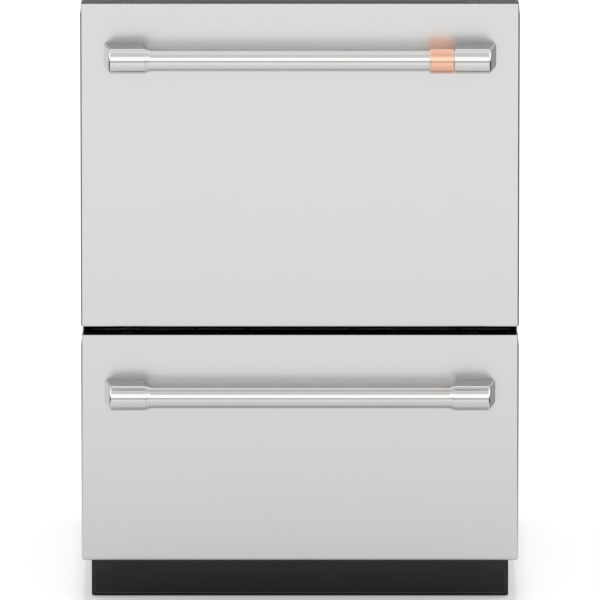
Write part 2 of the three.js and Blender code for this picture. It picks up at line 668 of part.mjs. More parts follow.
/** A channel that opens towards the drawer, with its web at the given distance from the middle. */
function channel(sign, webX, depth, height) {
  const half = height / 2;
  const inner = webX - RUNNER_SHEET;
  const mouth = webX - depth;
  return polygon([
    [sign * webX, -half],
    [sign * webX, half],
    [sign * mouth, half],
    [sign * mouth, half - RUNNER_SHEET],
    [sign * inner, half - RUNNER_SHEET],
    [sign * inner, -half + RUNNER_SHEET],
    [sign * mouth, -half + RUNNER_SHEET],
    [sign * mouth, -half],
  ]);
}

/** The inner section: a web in the channel and a plate on the tub, joined by a shelf. */
function runnerBeam(sign, webX, plateX, height) {
  const half = height / 2;
  const shelf = RUNNER_SHEET;
  const inner = webX - RUNNER_SHEET;
  const plateInner = plateX + RUNNER_SHEET;
  return polygon([
    [sign * webX, -half],
    [sign * webX, half],
    [sign * inner, half],
    [sign * inner, shelf],
    [sign * plateInner, shelf],
    [sign * plateInner, half],
    [sign * plateX, half],
    [sign * plateX, -half],
    [sign * plateInner, -half],
    [sign * plateInner, -shelf],
    [sign * inner, -shelf],
    [sign * inner, -half],
  ]);
}

function runner(bay, side) {
  const webX = SHELL_INSIDE - CLEARANCE;
  const sections = {
    outer: channel(side.sign, webX, RUNNER_DEPTH, RUNNER_HEIGHT),
    middle: channel(
      side.sign,
      webX - RUNNER_STEP,
      RUNNER_DEPTH - RUNNER_STEP,
      RUNNER_HEIGHT - 2 * RUNNER_STEP,
    ),
    inner: runnerBeam(
      side.sign,
      webX - 2 * RUNNER_STEP,
      TUB_HALF + CLEARANCE,
      RUNNER_HEIGHT - 4 * RUNNER_STEP,
    ),
  };
  const z = TUB_BOTTOM + RUNNER_LIFT;
  return Object.entries(sections).map(([name, section]) =>
    piece(
      `${bay.name}_runner_${name}_${side.name}`,
      runBack(section, RUNNER_LENGTH),
      'galvanised',
      0,
      RUNNER_FRONT,
      z,
    ));
}

// ---------------------------------------------------------------------------------------------
// Lid over a tub, carried by ledges of the shell
// ---------------------------------------------------------------------------------------------

function lid(bay) {
  const front = SHELL_SETBACK + SHELL_SHEET + CLEARANCE;
  const back = TUB_BACK + RIM_WIDTH;
  const plate = block(2 * LID_HALF, back - front, LID_THICKNESS);
  const ring = roundedRectangle(
    -TUB_HALF - RIM_WIDTH,
    TUB_HALF + RIM_WIDTH,
    front,
    back,
    TUB_CORNER_RADIUS + RIM_WIDTH,
  );
  ring.holes.push(roundedRectangle(
    -TUB_HALF - RIM_WIDTH + SEAL_WIDTH,
    TUB_HALF + RIM_WIDTH - SEAL_WIDTH,
    front + SEAL_WIDTH,
    back - SEAL_WIDTH,
    TUB_CORNER_RADIUS + RIM_WIDTH - SEAL_WIDTH,
  ));
  const bottom = lidBottom(bay);
  const sealBottom = bottom - CLEARANCE - SEAL_HEIGHT;
  return [
    piece(`${bay.name}_lid`, plate, 'tubPlastic', 0, front, bottom),
    piece(`${bay.name}_lid_seal`, raise(ring, SEAL_HEIGHT), 'rubber', 0, 0, sealBottom),
  ];
}

// ---------------------------------------------------------------------------------------------
// Shell and base. Their frame starts on the floor, under the face of the fronts.
// ---------------------------------------------------------------------------------------------

/** Side sheet with one folded ledge under each lid. */
function sidePanel(side) {
  const { sign } = side;
  const outer = SHELL_WIDTH / 2;
  const top = SHELL_TOP - SHELL_SHEET - CLEARANCE;
  const ledges = BAYS.map((bay) => bay.bottom + lidBottom(bay) - CLEARANCE).sort((a, b) => a - b);
  const inside = ledges.flatMap((ledgeTop) => [
    [sign * SHELL_INSIDE, ledgeTop - LEDGE_THICKNESS],
    [sign * LEDGE_INNER, ledgeTop - LEDGE_THICKNESS],
    [sign * LEDGE_INNER, ledgeTop],
    [sign * SHELL_INSIDE, ledgeTop],
  ]);
  const section = polygon([
    [sign * outer, SHELL_BOTTOM],
    [sign * SHELL_INSIDE, SHELL_BOTTOM],
    ...inside,
    [sign * SHELL_INSIDE, top],
    [sign * outer, top],
  ]);
  const depth = BODY_DEPTH - SHELL_SHEET - CLEARANCE - SHELL_SETBACK;
  return piece(`side_panel_${side.name}`, runBack(section, depth), 'galvanised', 0, SHELL_SETBACK);
}

function backPanel() {
  const top = SHELL_TOP - SHELL_SHEET - CLEARANCE;
  const sheet = block(SHELL_WIDTH, SHELL_SHEET, top - SHELL_BOTTOM);
  return piece('back_panel', sheet, 'galvanised', 0, BODY_DEPTH - SHELL_SHEET, SHELL_BOTTOM);
}

function topCover() {
  const sheet = block(SHELL_WIDTH, BODY_DEPTH - SHELL_SETBACK, SHELL_SHEET);
  const flange = block(2 * (SHELL_INSIDE - CLEARANCE), SHELL_SHEET, COVER_FLANGE)
    .translate(0, 0, SHELL_SHEET - COVER_FLANGE);
  return piece('top_cover', join(sheet, flange), 'galvanised', 0, SHELL_SETBACK, SHELL_TOP - SHELL_SHEET);
}

/** Open tray that carries the shell on its flanges and stands on the feet. */
function baseTray() {
  const depth = BASE_BACK - BASE_FRONT;
  const tray = block(2 * BASE_HALF, depth, BASE_HEIGHT - CLEARANCE);
  const flanges = block(SHELL_WIDTH, depth, SHELL_SHEET)
    .translate(0, 0, BASE_HEIGHT - CLEARANCE - SHELL_SHEET);
  const hollow = block(2 * (BASE_HALF - SHELL_SHEET), depth - 2 * SHELL_SHEET, BASE_HEIGHT)
    .translate(0, SHELL_SHEET, SHELL_SHEET);
  const body = cut(join(tray, flanges), hollow);
  return piece('base_tray', body, 'galvanised', 0, BASE_FRONT, FOOT_HEIGHT + CLEARANCE);
}

/** Glossy plate across the toe space, with a bevelled edge. */
function kickPlate() {
  const half = KICK_WIDTH / 2 - KICK_BEVEL;
  const section = polygon([
    [-half, KICK_BEVEL],
    [half, KICK_BEVEL],
    [half, KICK_HEIGHT - KICK_BEVEL],
    [-half, KICK_HEIGHT - KICK_BEVEL],
  ]);
  const plate = new THREE.ExtrudeGeometry(section, {
    depth: KICK_THICKNESS - 2 * KICK_BEVEL,
    bevelSize: KICK_BEVEL,
    bevelThickness: KICK_BEVEL,
    bevelSegments: 1,
  }).rotateX(Math.PI / 2);
  const y = KICK_SETBACK + KICK_THICKNESS - KICK_BEVEL;
  return piece('kick_plate', plate, 'blackGloss', 0, y, KICK_FLOOR_GAP);
}

/** A levelling foot: broad pad, threaded stem and lock nut under the base. */
function foot(name, x, y) {
  const body = turned([
    [FOOT_RADIUS, 0],
    [FOOT_RADIUS, FOOT_PAD],
    [FOOT_STEM_RADIUS, FOOT_PAD],
    [FOOT_STEM_RADIUS, FOOT_HEIGHT - FOOT_NUT_HEIGHT],
    [FOOT_NUT_RADIUS, FOOT_HEIGHT - FOOT_NUT_HEIGHT],
    [FOOT_NUT_RADIUS, FOOT_HEIGHT],
  ]);
  return piece(name, body, 'blackPlastic', x, y);
}

function feet() {
  const inset = FOOT_RADIUS + FOOT_EDGE_GAP;
  const ends = [
    { name: 'front', y: BASE_FRONT + inset },
    { name: 'rear', y: BASE_BACK - inset },
  ];
  return ends.flatMap((end) =>
    SIDES.map((side) => foot(`foot_${end.name}_${side.name}`, side.sign * (BASE_HALF - inset), end.y)));
}

/** A fitting that stands back from the base's rear wall: a flange and a round spigot. */
function fitting(name, finish, x, spigotRadius) {
  const body = turned([
    [spigotRadius, 0],
    [spigotRadius, FITTING_LENGTH - FITTING_FLANGE],
    [FITTING_FLANGE_RADIUS, FITTING_LENGTH - FITTING_FLANGE],
    [FITTING_FLANGE_RADIUS, FITTING_LENGTH],
  ]).rotateX(Math.PI / 2);
  const z = FOOT_HEIGHT + CLEARANCE + BASE_HEIGHT / 2;
  return piece(name, body, finish, x, BASE_BACK + CLEARANCE + FITTING_LENGTH, z);
}

// ---------------------------------------------------------------------------------------------
// The whole machine
// ---------------------------------------------------------------------------------------------

function bayPieces(bay) {
  const pieces = [
    frontSkin(bay),
    frontLiner(bay),
    frontCap(bay),
    ...frontButtons(bay),
    handle(bay),
    tub(bay),
    washPump(bay),
    filterPlate(bay),
    sprayArm(bay),
    basket(bay),
    dispenser(bay),
    ...SIDES.flatMap((side) => runner(bay, side)),
    ...lid(bay),
  ];
  return group(pieces, 0, 0, bay.bottom);
}

const dishwasher = group([
  ...BAYS.map(bayPieces),
  ...SIDES.map(sidePanel),
  backPanel(),
  topCover(),
  baseTray(),
  kickPlate(),
  ...feet(),
  fitting('inlet_valve', 'brass', VALVE_FROM_END - BASE_HALF, VALVE_THREAD_RADIUS),
  fitting('drain_outlet', 'greyPlastic', BASE_HALF - DRAIN_FROM_END, DRAIN_SPIGOT_RADIUS),
  fitting('mains_gland', 'blackPlastic', BASE_HALF - GLAND_FROM_END, GLAND_RADIUS),
], 0, FACE_Y, 0);

export default dishwasher;
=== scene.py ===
"""The finished look of a built-in double-drawer dishwasher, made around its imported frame. Metres, +Z up."""
import json
import math

import bmesh
import bpy
from bpy.props import FloatProperty, FloatVectorProperty, IntProperty, PointerProperty
from bpy.types import Operator, Panel, PropertyGroup
from mathutils import Matrix, Vector
from mathutils.geometry import delaunay_2d_cdt

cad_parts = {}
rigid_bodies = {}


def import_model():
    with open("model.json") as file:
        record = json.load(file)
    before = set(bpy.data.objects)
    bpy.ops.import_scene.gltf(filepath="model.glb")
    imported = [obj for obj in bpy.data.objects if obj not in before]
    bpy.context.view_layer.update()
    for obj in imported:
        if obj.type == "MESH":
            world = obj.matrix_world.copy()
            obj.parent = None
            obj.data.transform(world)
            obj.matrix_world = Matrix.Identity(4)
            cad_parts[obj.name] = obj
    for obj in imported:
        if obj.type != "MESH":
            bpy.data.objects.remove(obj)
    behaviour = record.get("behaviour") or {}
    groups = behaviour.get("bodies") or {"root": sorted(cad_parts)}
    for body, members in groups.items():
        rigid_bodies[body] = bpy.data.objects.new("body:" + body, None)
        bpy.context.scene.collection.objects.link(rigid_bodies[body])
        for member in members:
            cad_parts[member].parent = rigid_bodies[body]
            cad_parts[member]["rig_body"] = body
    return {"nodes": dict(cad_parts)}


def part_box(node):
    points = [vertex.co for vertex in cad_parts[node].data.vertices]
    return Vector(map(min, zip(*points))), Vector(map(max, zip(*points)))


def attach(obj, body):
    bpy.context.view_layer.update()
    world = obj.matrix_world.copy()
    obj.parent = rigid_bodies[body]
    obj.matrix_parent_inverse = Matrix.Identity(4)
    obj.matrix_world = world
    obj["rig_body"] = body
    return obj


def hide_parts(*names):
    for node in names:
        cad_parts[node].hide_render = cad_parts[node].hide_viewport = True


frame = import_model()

bl_info = {
    "name": "Double-Drawer Dishwasher",
    "version": (1, 0, 0),
    "blender": (4, 5, 0),
    "location": "View3D > Sidebar > Dishwasher",
    "description": "Builds the finished pieces of a double-drawer dishwasher around its frame",
    "category": "Object",
}

MM = 0.001
TAU = 2 * math.pi
BAYS = ("upper", "lower")
SIDES = (("left", -1), ("right", 1))
SHARP = math.radians(30)      # edges that turn further than this stay sharp
ROUND, SMALL_ROUND = 96, 40   # sides of large and of small turned pieces
SAME_POINT = 0.001 * MM       # points nearer than this become one


# ---- Settings ----

def length(name, description, default):
    return FloatProperty(
        name=name, description=description, default=default, min=0, precision=5,
        unit="LENGTH", subtype="DISTANCE",
    )


def angle(name, description, degrees):
    return FloatProperty(
        name=name, description=description, default=math.radians(degrees),
        unit="ROTATION", subtype="ANGLE",
    )


def share(name, description, default):
    return FloatProperty(
        name=name, description=description, default=default, min=0, max=1, subtype="FACTOR",
    )


def count(name, description, default):
    return IntProperty(name=name, description=description, default=default, min=1)


def colour(name, description, red, green, blue):
    """A colour written as its share of red, green and blue light."""
    return FloatVectorProperty(
        name=name, description=description, default=(red, green, blue), size=3, min=0, max=1,
        subtype="COLOR",
    )


class FrontSettings(PropertyGroup):
    """Steel fronts, liners, caps and push buttons."""
    edge_radius: length("Edge radius", "Rounding of the steel front's sides and bottom", 3.2 * MM)
    sheet: length("Sheet", "Thickness of the steel front", 1.2 * MM)
    sheet_edge: length("Sheet edge", "Rounding of the steel's cut edges", 0.25 * MM)
    cap_edge: length("Cap edge", "Rounding of the glossy cap's edges", 1 * MM)
    button_dish: length("Button dish", "How deep a button's top is dished", 0.4 * MM)
    steel: colour("Steel", "Brushed steel of the fronts", 0.775, 0.773, 0.772)
    gloss: colour("Cap and kick plate", "Black glossy plastic", 0.006, 0.006, 0.007)
    liner: colour("Liner", "Plastic behind the steel", 0.055, 0.056, 0.060)
    button: colour("Button", "Push button plastic", 0.045, 0.045, 0.050)


class HandleSettings(PropertyGroup):
    """Round bars with flared end brackets, and a band on the upper one."""
    bar_wall: length("Bar wall", "Wall of the bar's tube", 2 * MM)
    edge: length("Bracket edge", "Rounding of the bracket's edges", 0.9 * MM)
    chamfer: length("Bracket chamfer", "Chamfer round the bracket's outer end", 2 * MM)
    foot_length: length("Bracket foot", "Length of the bracket where it meets the front", 54.5 * MM)
    inner_slant: length("Inner slant", "Lean of the bracket's inner face", 3 * MM)
    outer_slant: length("Outer slant", "Lean of the bracket's outer face", 7.5 * MM)
    collar: length("Collar", "Length of the cone where the bar enters a bracket", 5 * MM)
    band_edge: length("Band edge", "Rounding of the band's ends", 1.2 * MM)
    steel: colour("Handle steel", "Brushed steel of the handles", 0.735, 0.732, 0.718)
    # Painted shade: this dark colour stands in for the shade and dark reflections on the brackets' level and
    # right-facing faces; only the satin roughness is their own.
    flats: colour("Flats", "Satin steel of the brackets' flat faces", 0.27, 0.275, 0.262)
    band: colour("Band", "Copper coloured band", 0.98, 0.56, 0.41)


class TubSettings(PropertyGroup):
    """Tubs, pumps, strainers and spray arms."""
    wall: length("Wall", "Thickness of the tub's wall", 2.5 * MM)
    rim_width: length("Rim width", "How far the rim stands out", 6 * MM)
    rim_thickness: length("Rim thickness", "Thickness of the rim", 3 * MM)
    corner: length("Corner radius", "Plan radius of the tub's corners", 30 * MM)
    floor_fillet: length("Floor fillet", "Rounding between wall and floor", 10 * MM)
    well_radius: length("Well radius", "Radius of the well in the floor", 74 * MM)
    well_depth: length("Well depth", "Depth of the well in the floor", 20 * MM)
    slots: count("Strainer slots", "Slots in one ring of the strainer", 96)
    slot_rings: count("Strainer rings", "Rings of slots in the strainer", 7)
    plastic: colour("Tub", "Moulded tub plastic", 0.46, 0.49, 0.52)
    arm: colour("Spray arm", "Spray arm plastic", 0.20, 0.22, 0.24)
    pump: colour("Pump", "Pump housing plastic", 0.05, 0.055, 0.06)
    strainer: colour("Strainer", "Perforated steel", 0.62, 0.62, 0.63)


class BasketSettings(PropertyGroup):
    """Baskets bent from coated wire."""
    wire: length("Wire", "Thickness of the basket's wire", 3.2 * MM)
    rim_wire: length("Rim wire", "Thickness of the wire round the top", 4 * MM)
    bend: length("Bend", "Radius of a wire's bend", 9 * MM)
    pitch: length("Pitch", "Distance between neighbouring wires", 31 * MM)
    floor_height: length("Floor height", "Foot of the basket to its floor", 51.7 * MM)
    tine_pitch: length("Tine pitch", "Distance between neighbouring tines", 24 * MM)
    tine_height: length("Tine height", "Height of a tine above the floor", 62 * MM)
    coating: colour("Coating", "Nylon coating of the wire", 0.50, 0.53, 0.56)


class FittingSettings(PropertyGroup):
    """Dispensers, runners, lids and seals."""
    moulded_edge: length("Moulded edge", "Rounding of moulded edges", 0.8 * MM)
    pocket_depth: length("Pocket depth", "Depth of the pockets in a lid", 4 * MM)
    pocket_rib: length("Pocket rib", "Width of the ribs between the pockets", 5 * MM)
    dispenser: colour("Dispenser", "Dispenser plastic", 0.60, 0.61, 0.62)
    cover: colour("Cover", "Plastic of the dispenser's cover", 0.14, 0.16, 0.18)
    lid: colour("Lid", "Lid plastic", 0.36, 0.38, 0.40)
    runner: colour("Runner", "Zinc plated steel", 0.60, 0.61, 0.62)
    seal: colour("Seal", "Seal rubber", 0.035, 0.036, 0.038)


class ShellSettings(PropertyGroup):
    """Sheet steel shell, base, feet and the fittings at the back."""
    press_slope: length("Press slope", "Width of the slope round a pressed field", 9 * MM)
    side_press: length("Side press", "How far a pressed field stands out at the sides", 1.1 * MM)
    top_press: length("Top press", "How far a pressed field stands out on top", 2.2 * MM)
    back_press: length("Back press", "How far a pressed field lies in at the back", 4 * MM)
    screw_radius: length("Screw", "Radius of a screw's washer", 4.6 * MM)
    thread_pitch: length("Thread pitch", "Pitch of the feet's threads", 1.5 * MM)
    sheet: colour("Shell", "Galvanised sheet", 0.58, 0.59, 0.60)
    foot: colour("Feet", "Plastic of the feet", 0.03, 0.03, 0.032)
    brass: colour("Brass", "Turned brass", 0.72, 0.52, 0.22)
    drain: colour("Drain", "Plastic of the drain outlet", 0.10, 0.11, 0.12)
    kick_edge: length("Kick plate edge", "Rounding of the kick plate's edge", 2.5 * MM)


class StageSettings(PropertyGroup):
    """Camera, floor and light."""
    camera_elevation: angle("Camera elevation", "Camera's angle above the horizon", 12.5)
    camera_distance: length("Camera distance", "From the aim point to the camera", 20.0)
    view_width: length("View width", "Width of the picture at the fronts", 0.8206)
    aim_height: length("Aim height", "Height of the picture's middle on the fronts", 0.4332)
    floor_size: length("Floor size", "Side of the square floor", 120.0)
    floor_tone: share("Floor tone", "Brightness of the floor's own surface", 0.52)
    floor_glow: share("Floor glow", "White that the floor adds where a surface mirrors it", 0.19)
    white: share("White", "White that the floor adds straight in front of the camera", 0.36)
    paper: length("Paper", "Half the pale paper's width where it passes the fronts", 0.75)
    paper_spread: FloatProperty(name="Paper spread", description="How fast the paper widens", default=0.8)
    paper_shift: share("Paper shift", "How much further the paper reaches to the left", 0.15)
    # Painted shade: the paper is darker close to the machine, standing in for the shade under and in front of
    # it.
    near_tone: share("Near tone", "Brightness of the paper close to the machine", 0.80)
    key_strength: FloatProperty(name="Key", description="Strength of the light from above", default=1.4)
    key_elevation: angle("Key elevation", "Angle of the light above the horizon, from behind", 84)
    key_width: angle("Key width", "Angle that the light fills, which softens its shadow", 3)


def settings():
    return bpy.context.scene.dishwasher


# ---- Node tools ----

class Wiring:
    """Adds nodes to a tree. An input is given a plain value, or another node's output."""

    def __init__(self, tree):
        self.tree = tree

    def feed(self, node, inputs):
        for key, value in inputs.items():
            if isinstance(value, bpy.types.NodeSocket):
                self.tree.links.new(value, node.inputs[key])
            else:
                node.inputs[key].default_value = value

    def add(self, kind, inputs=None, **choices):
        node = self.tree.nodes.new(kind)
        for key, value in choices.items():
            setattr(node, key, value)
        self.feed(node, inputs or {})
        return node

    def out(self, kind, inputs=None, **choices):
        """The first output of a new node."""
        return self.add(kind, inputs, **choices).outputs[0]

    def math(self, operation, *values):
        return self.out("ShaderNodeMath", dict(enumerate(values)), operation=operation)

    def multiplied(self, vector, factors):
        return self.out("ShaderNodeVectorMath", {0: vector, 1: factors}, operation="MULTIPLY")

    def parts(self, vector):
        """A vector's X, Y and Z."""
        return self.add("ShaderNodeSeparateXYZ", {0: vector}).outputs

    def remap(self, value, start, end, to_start=0.0, to_end=1.0):
        """Stretches what lies from start to end over another range."""
        return self.out("ShaderNodeMapRange", {
            "Value": value, "From Min": start, "From Max": end, "To Min": to_start, "To Max": to_end})

    def mix(self, factor, one, other):
        """A colour between two."""
        inputs = {"Factor": factor, "A": one, "B": other}
        return self.add("ShaderNodeMix", inputs, data_type="RGBA").outputs["Result"]

    def noise(self, place, scale, detail, **choices):
        """An uneven value from 0 to 1 at each place."""
        inputs = {"Vector": place, "Scale": scale, "Detail": detail, **choices}
        return self.add("ShaderNodeTexNoise", inputs).outputs["Fac"]


SOCKET_KINDS = {float: "NodeSocketFloat", int: "NodeSocketInt", tuple: "NodeSocketVector"}


def new_tree(name, kind, inputs, outputs):
    """A node tree with named inputs and outputs, its Wiring, what it is given and its output node."""
    tree = bpy.data.node_groups.new(name, kind)
    for socket, default in inputs.items():
        if isinstance(default, str):
            tree.interface.new_socket(socket, in_out="INPUT", socket_type=default)
            continue
        made = tree.interface.new_socket(socket, in_out="INPUT", socket_type=SOCKET_KINDS[type(default)])
        made.default_value = default
    for socket, socket_type in outputs.items():
        tree.interface.new_socket(socket, in_out="OUTPUT", socket_type=socket_type)
    wiring = Wiring(tree)
    return tree, wiring, wiring.add("NodeGroupInput").outputs, wiring.add("NodeGroupOutput")


def placed(name, data):
    """An object of its own for a mesh, light or camera, in the scene."""
    made = bpy.data.objects.new(name, data)
    bpy.context.scene.collection.objects.link(made)
    return made


def new_material(name):
    """A material with its wiring and its shader."""
    material = bpy.data.materials.new(name)
    material.use_nodes = True
    return material, Wiring(material.node_tree), material.node_tree.nodes["Principled BSDF"]


def shade_group(name, inputs, outputs, build):
    """A shader node group, built once and shared by the materials that use it.

    build returns what each of the group's outputs is fed by.
    """
    group = bpy.data.node_groups.get(name)
    if group is None:
        kinds = dict.fromkeys(outputs, "NodeSocketFloat")
        group, wiring, given, result = new_tree(name, "ShaderNodeTree", inputs, kinds)
        place = wiring.add("ShaderNodeTexCoord").outputs["Object"]
        wiring.feed(result, build(wiring, place, given))
    return group


def brushed_grain():
    """Fine strokes, long one way and thin the other two, over a broad uneven sheen."""
    def build(wiring, place, given):
        strokes = wiring.noise(wiring.multiplied(place, given["Stretch"]), scale=1.0, detail=3.0)
        both = wiring.math("ADD", strokes, wiring.noise(place, given["Broad"], detail=2.0))
        return {"Tone": wiring.math("MULTIPLY", both, 0.5), "Height": strokes}
    return shade_group(
        "Brushed grain", {"Stretch": (20.0, 900.0, 900.0), "Broad": 6.0}, ("Tone", "Height"), build)


def moulded_grain():
    """Fine spark-eroded texture of moulded plastic, with slow changes of tone."""
    def build(wiring, place, given):
        fine = wiring.noise(place, given["Grain"], detail=3.0)
        pits = wiring.add("ShaderNodeTexVoronoi", {"Vector": place, "Scale": given["Grain"]})
        return {
            "Tone": wiring.noise(place, given["Broad"], detail=3.0),
            "Height": wiring.math("MULTIPLY", fine, pits.outputs["Distance"])}
    return shade_group("Moulded grain", {"Grain": 1400.0, "Broad": 9.0}, ("Tone", "Height"), build)


def spangle():
    """Crystals of a zinc coat: each a little lighter or darker than its neighbours."""
    def build(wiring, place, given):
        bend, needled = (0.02, 0.02, 0.02), 0.35
        warp = wiring.add(
            "ShaderNodeTexNoise", {"Vector": place, "Scale": given["Crystals"], "Detail": 2.0})
        bent = wiring.out(
            "ShaderNodeVectorMath", {0: warp.outputs["Color"], 1: bend, 2: place}, operation="MULTIPLY_ADD")
        cells = wiring.add("ShaderNodeTexVoronoi", {"Vector": bent, "Scale": given["Crystals"]})
        needles = wiring.noise(place, scale=420.0, detail=4.0)
        tone = wiring.out("ShaderNodeSeparateColor", {"Color": cells.outputs["Color"]})
        mixed = wiring.math("MULTIPLY_ADD", needles, needled, wiring.math("MULTIPLY", tone, 1 - needled))
        return {"Tone": mixed, "Height": needles}
    return shade_group("Zinc spangle", {"Crystals": 110.0}, ("Tone", "Height"), build)


def handling_marks():
    """Faint wiped marks, drawn out in one direction, that only change how a surface shines."""
    def build(wiring, place, given):
        stretch, unmarked, marked = (3.0, 3.0, 7.0), 0.45, 0.75
        drawn = wiring.multiplied(place, stretch)
        wiped = wiring.noise(drawn, given["Broad"], detail=6.0, Distortion=0.8)
        return {"Marks": wiring.remap(wiped, unmarked, marked)}
    return shade_group("Handling marks", {"Broad": 1.6}, ("Marks",), build)


# ---- Finishes, one for each material slot of the record, and one more for the brackets' flats, darker as painted shade. ----

FINISH_NAME = "{}_finish"


def finish(slot, base, roughness, texture, metallic=0.0, tone=0.04, uneven=0.04, marks=0.03, bump=0.02,
           **values):
    """A material whose tone, roughness and relief follow a texture, with faint handling marks on top.

    values are the texture's own inputs, in small letters.
    """
    material, wiring, shader = new_material(FINISH_NAME.format(slot))
    inputs = {key.capitalize(): value for key, value in values.items()}
    pattern = wiring.add("ShaderNodeGroup", inputs, node_tree=texture()).outputs
    dark, light = (
        [min(channel * (1 + change), 1) for channel in base] + [1] for change in (-2 * tone, 2 * tone))
    rough = wiring.remap(pattern["Tone"], 0.0, 1.0, roughness - uneven, roughness + uneven)
    if marks:
        wiped = wiring.out("ShaderNodeGroup", node_tree=handling_marks())
        rough = wiring.math("MULTIPLY_ADD", wiped, marks, rough)
    wiring.feed(shader, {
        "Metallic": metallic, "Base Color": wiring.mix(pattern["Tone"], dark, light), "Roughness": rough,
        "Normal": wiring.out("ShaderNodeBump", {
            "Strength": 0.5, "Distance": bump * MM, "Height": pattern["Height"]})})
    return material


def steel(slot, base, roughness, stretch, bump=0.004, **values):
    return finish(slot, base, roughness, brushed_grain, metallic=1.0, bump=bump, stretch=stretch, **values)


def plastic(slot, base, roughness, **values):
    return finish(slot, base, roughness, moulded_grain, **values)


def galvanised(slot, base, roughness, **values):
    return finish(slot, base, roughness, spangle, metallic=1.0, bump=0.01, **values)


ALONG_X = (30.0, 2400.0, 2400.0)
ALONG_Y = (2400.0, 30.0, 2400.0)
ALL_ROUND = (260.0, 260.0, 260.0)

FINISHES = {
    # slot: (kind of finish, group of settings, its colour, roughness, what departs from the kind)
    "front_steel": (steel, "fronts", "steel", 0.28, dict(
        stretch=ALONG_X, tone=0.01, uneven=0.015, marks=0.0, bump=0.0003)),
    "handle_steel": (steel, "handles", "steel", 0.09, dict(stretch=ALONG_X, tone=0.02, uneven=0.02)),
    # Painted shade: much darker than the handle steel, for the brackets' shaded flats.
    "satin_flats": (steel, "handles", "flats", 0.30, dict(stretch=ALONG_X, tone=0.02)),
    "copper": (steel, "handles", "band", 0.22, dict(stretch=ALONG_X, tone=0.02)),
    "black_gloss": (plastic, "fronts", "gloss", 0.07, dict(tone=0.1, uneven=0.02, marks=0.06, bump=0.0005)),
    "liner_plastic": (plastic, "fronts", "liner", 0.50, dict(tone=0.06)),
    "button_plastic": (plastic, "fronts", "button", 0.30, dict(tone=0.06)),
    "tub_plastic": (plastic, "tubs", "plastic", 0.34, dict(marks=0.12)),
    "lid_plastic": (plastic, "fittings", "lid", 0.45, {}),
    "pump_plastic": (plastic, "tubs", "pump", 0.48, dict(tone=0.08, bump=0.05)),
    "strainer_steel": (steel, "tubs", "strainer", 0.30, dict(stretch=ALL_ROUND, tone=0.05)),
    "arm_plastic": (plastic, "tubs", "arm", 0.38, {}),
    "coated_wire": (plastic, "baskets", "coating", 0.30, dict(tone=0.06, grain=700.0)),
    "dispenser_plastic": (plastic, "fittings", "dispenser", 0.36, {}),
    "cover_plastic": (plastic, "fittings", "cover", 0.32, {}),
    "runner_steel": (steel, "fittings", "runner", 0.34, dict(stretch=ALONG_Y, tone=0.05)),
    "seal_rubber": (plastic, "fittings", "seal", 0.72, dict(tone=0.10, bump=0.04)),
    "shell_steel": (galvanised, "shell", "sheet", 0.42, dict(tone=0.07, uneven=0.06)),
    "foot_plastic": (plastic, "shell", "foot", 0.52, dict(tone=0.10)),
    "brass": (steel, "shell", "brass", 0.28, dict(stretch=ALL_ROUND, tone=0.06, uneven=0.06)),
    "drain_plastic": (plastic, "shell", "drain", 0.46, {}),
    "gland_plastic": (plastic, "shell", "foot", 0.46, dict(tone=0.10)),
}


def material_of(slot):
    """The slot's finish, made once. The frame's own materials already have the slots' plain names."""
    made = bpy.data.materials.get(FINISH_NAME.format(slot))
    if made is None:
        kind, group, tint, roughness, values = FINISHES[slot]
        made = kind(slot, getattr(getattr(settings(), group), tint), roughness, **values)
    return made


# ---- Mesh tools ----

def loft(rings, wrapped=False):
    """A mesh through rings of equally many points, closed by its end rings or wrapped round."""
    made = bmesh.new()
    loops = [[made.verts.new(point) for point in ring] for ring in rings]
    pairs = list(zip(loops, loops[1:]))
    if wrapped:
        pairs.append((loops[-1], loops[0]))
    else:
        made.faces.new(loops[0])
        made.faces.new(loops[-1])
    for one, other in pairs:
        for i, here in enumerate(one):
            following = (i + 1) % len(one)
            made.faces.new((here, one[following], other[following], other[i]))
    bmesh.ops.remove_doubles(made, verts=made.verts, dist=SAME_POINT)
    bmesh.ops.recalc_face_normals(made, faces=made.faces)
    return made


TURNS = {
    "X": Matrix.Rotation(math.pi / 2, 4, "Y"),
    "Y": Matrix.Rotation(-math.pi / 2, 4, "X"),
    "Z": Matrix.Identity(4),
}


def circle(number, radius, start=0.0):
    """Even points round a circle."""
    turns = [TAU * i / number + start for i in range(number)]
    return [(radius * math.cos(turn), radius * math.sin(turn)) for turn in turns]


def quarter_turn(steps=4):
    """(sine, 1 - cosine) at each step of a quarter turn."""
    turns = [TAU / 4 * i / steps for i in range(steps + 1)]
    return [(math.sin(turn), 1 - math.cos(turn)) for turn in turns]


def evenly(start, end, number):
    """Even places from one end to the other, both ends included."""
    return [start + (end - start) * i / (number - 1) for i in range(number)]


def offsets(radius, along, *steps):
    """A section's points, from their offsets in mm to one (distance out, distance along)."""
    return [(radius + out * MM, along + up * MM) for out, up in steps]


def turned(profile, place, axis="Z", segments=SMALL_ROUND, hollow=False):
    """A turned piece from (radius, distance along the axis) steps, at a place."""
    rings = [[(x, y, along) for x, y in circle(segments, radius)] for radius, along in profile]
    made = loft(rings, wrapped=hollow)
    made.transform(Matrix.Translation(place) @ TURNS[axis])
    return made


def rounded_step(radius, along, size, inward, steps=4):
    """Steps of a rounded outer corner at (radius, along). inward is -1 where the piece lies below."""
    return [(radius - size * v, along + inward * size * (1 - s)) for s, v in quarter_turn(steps)]


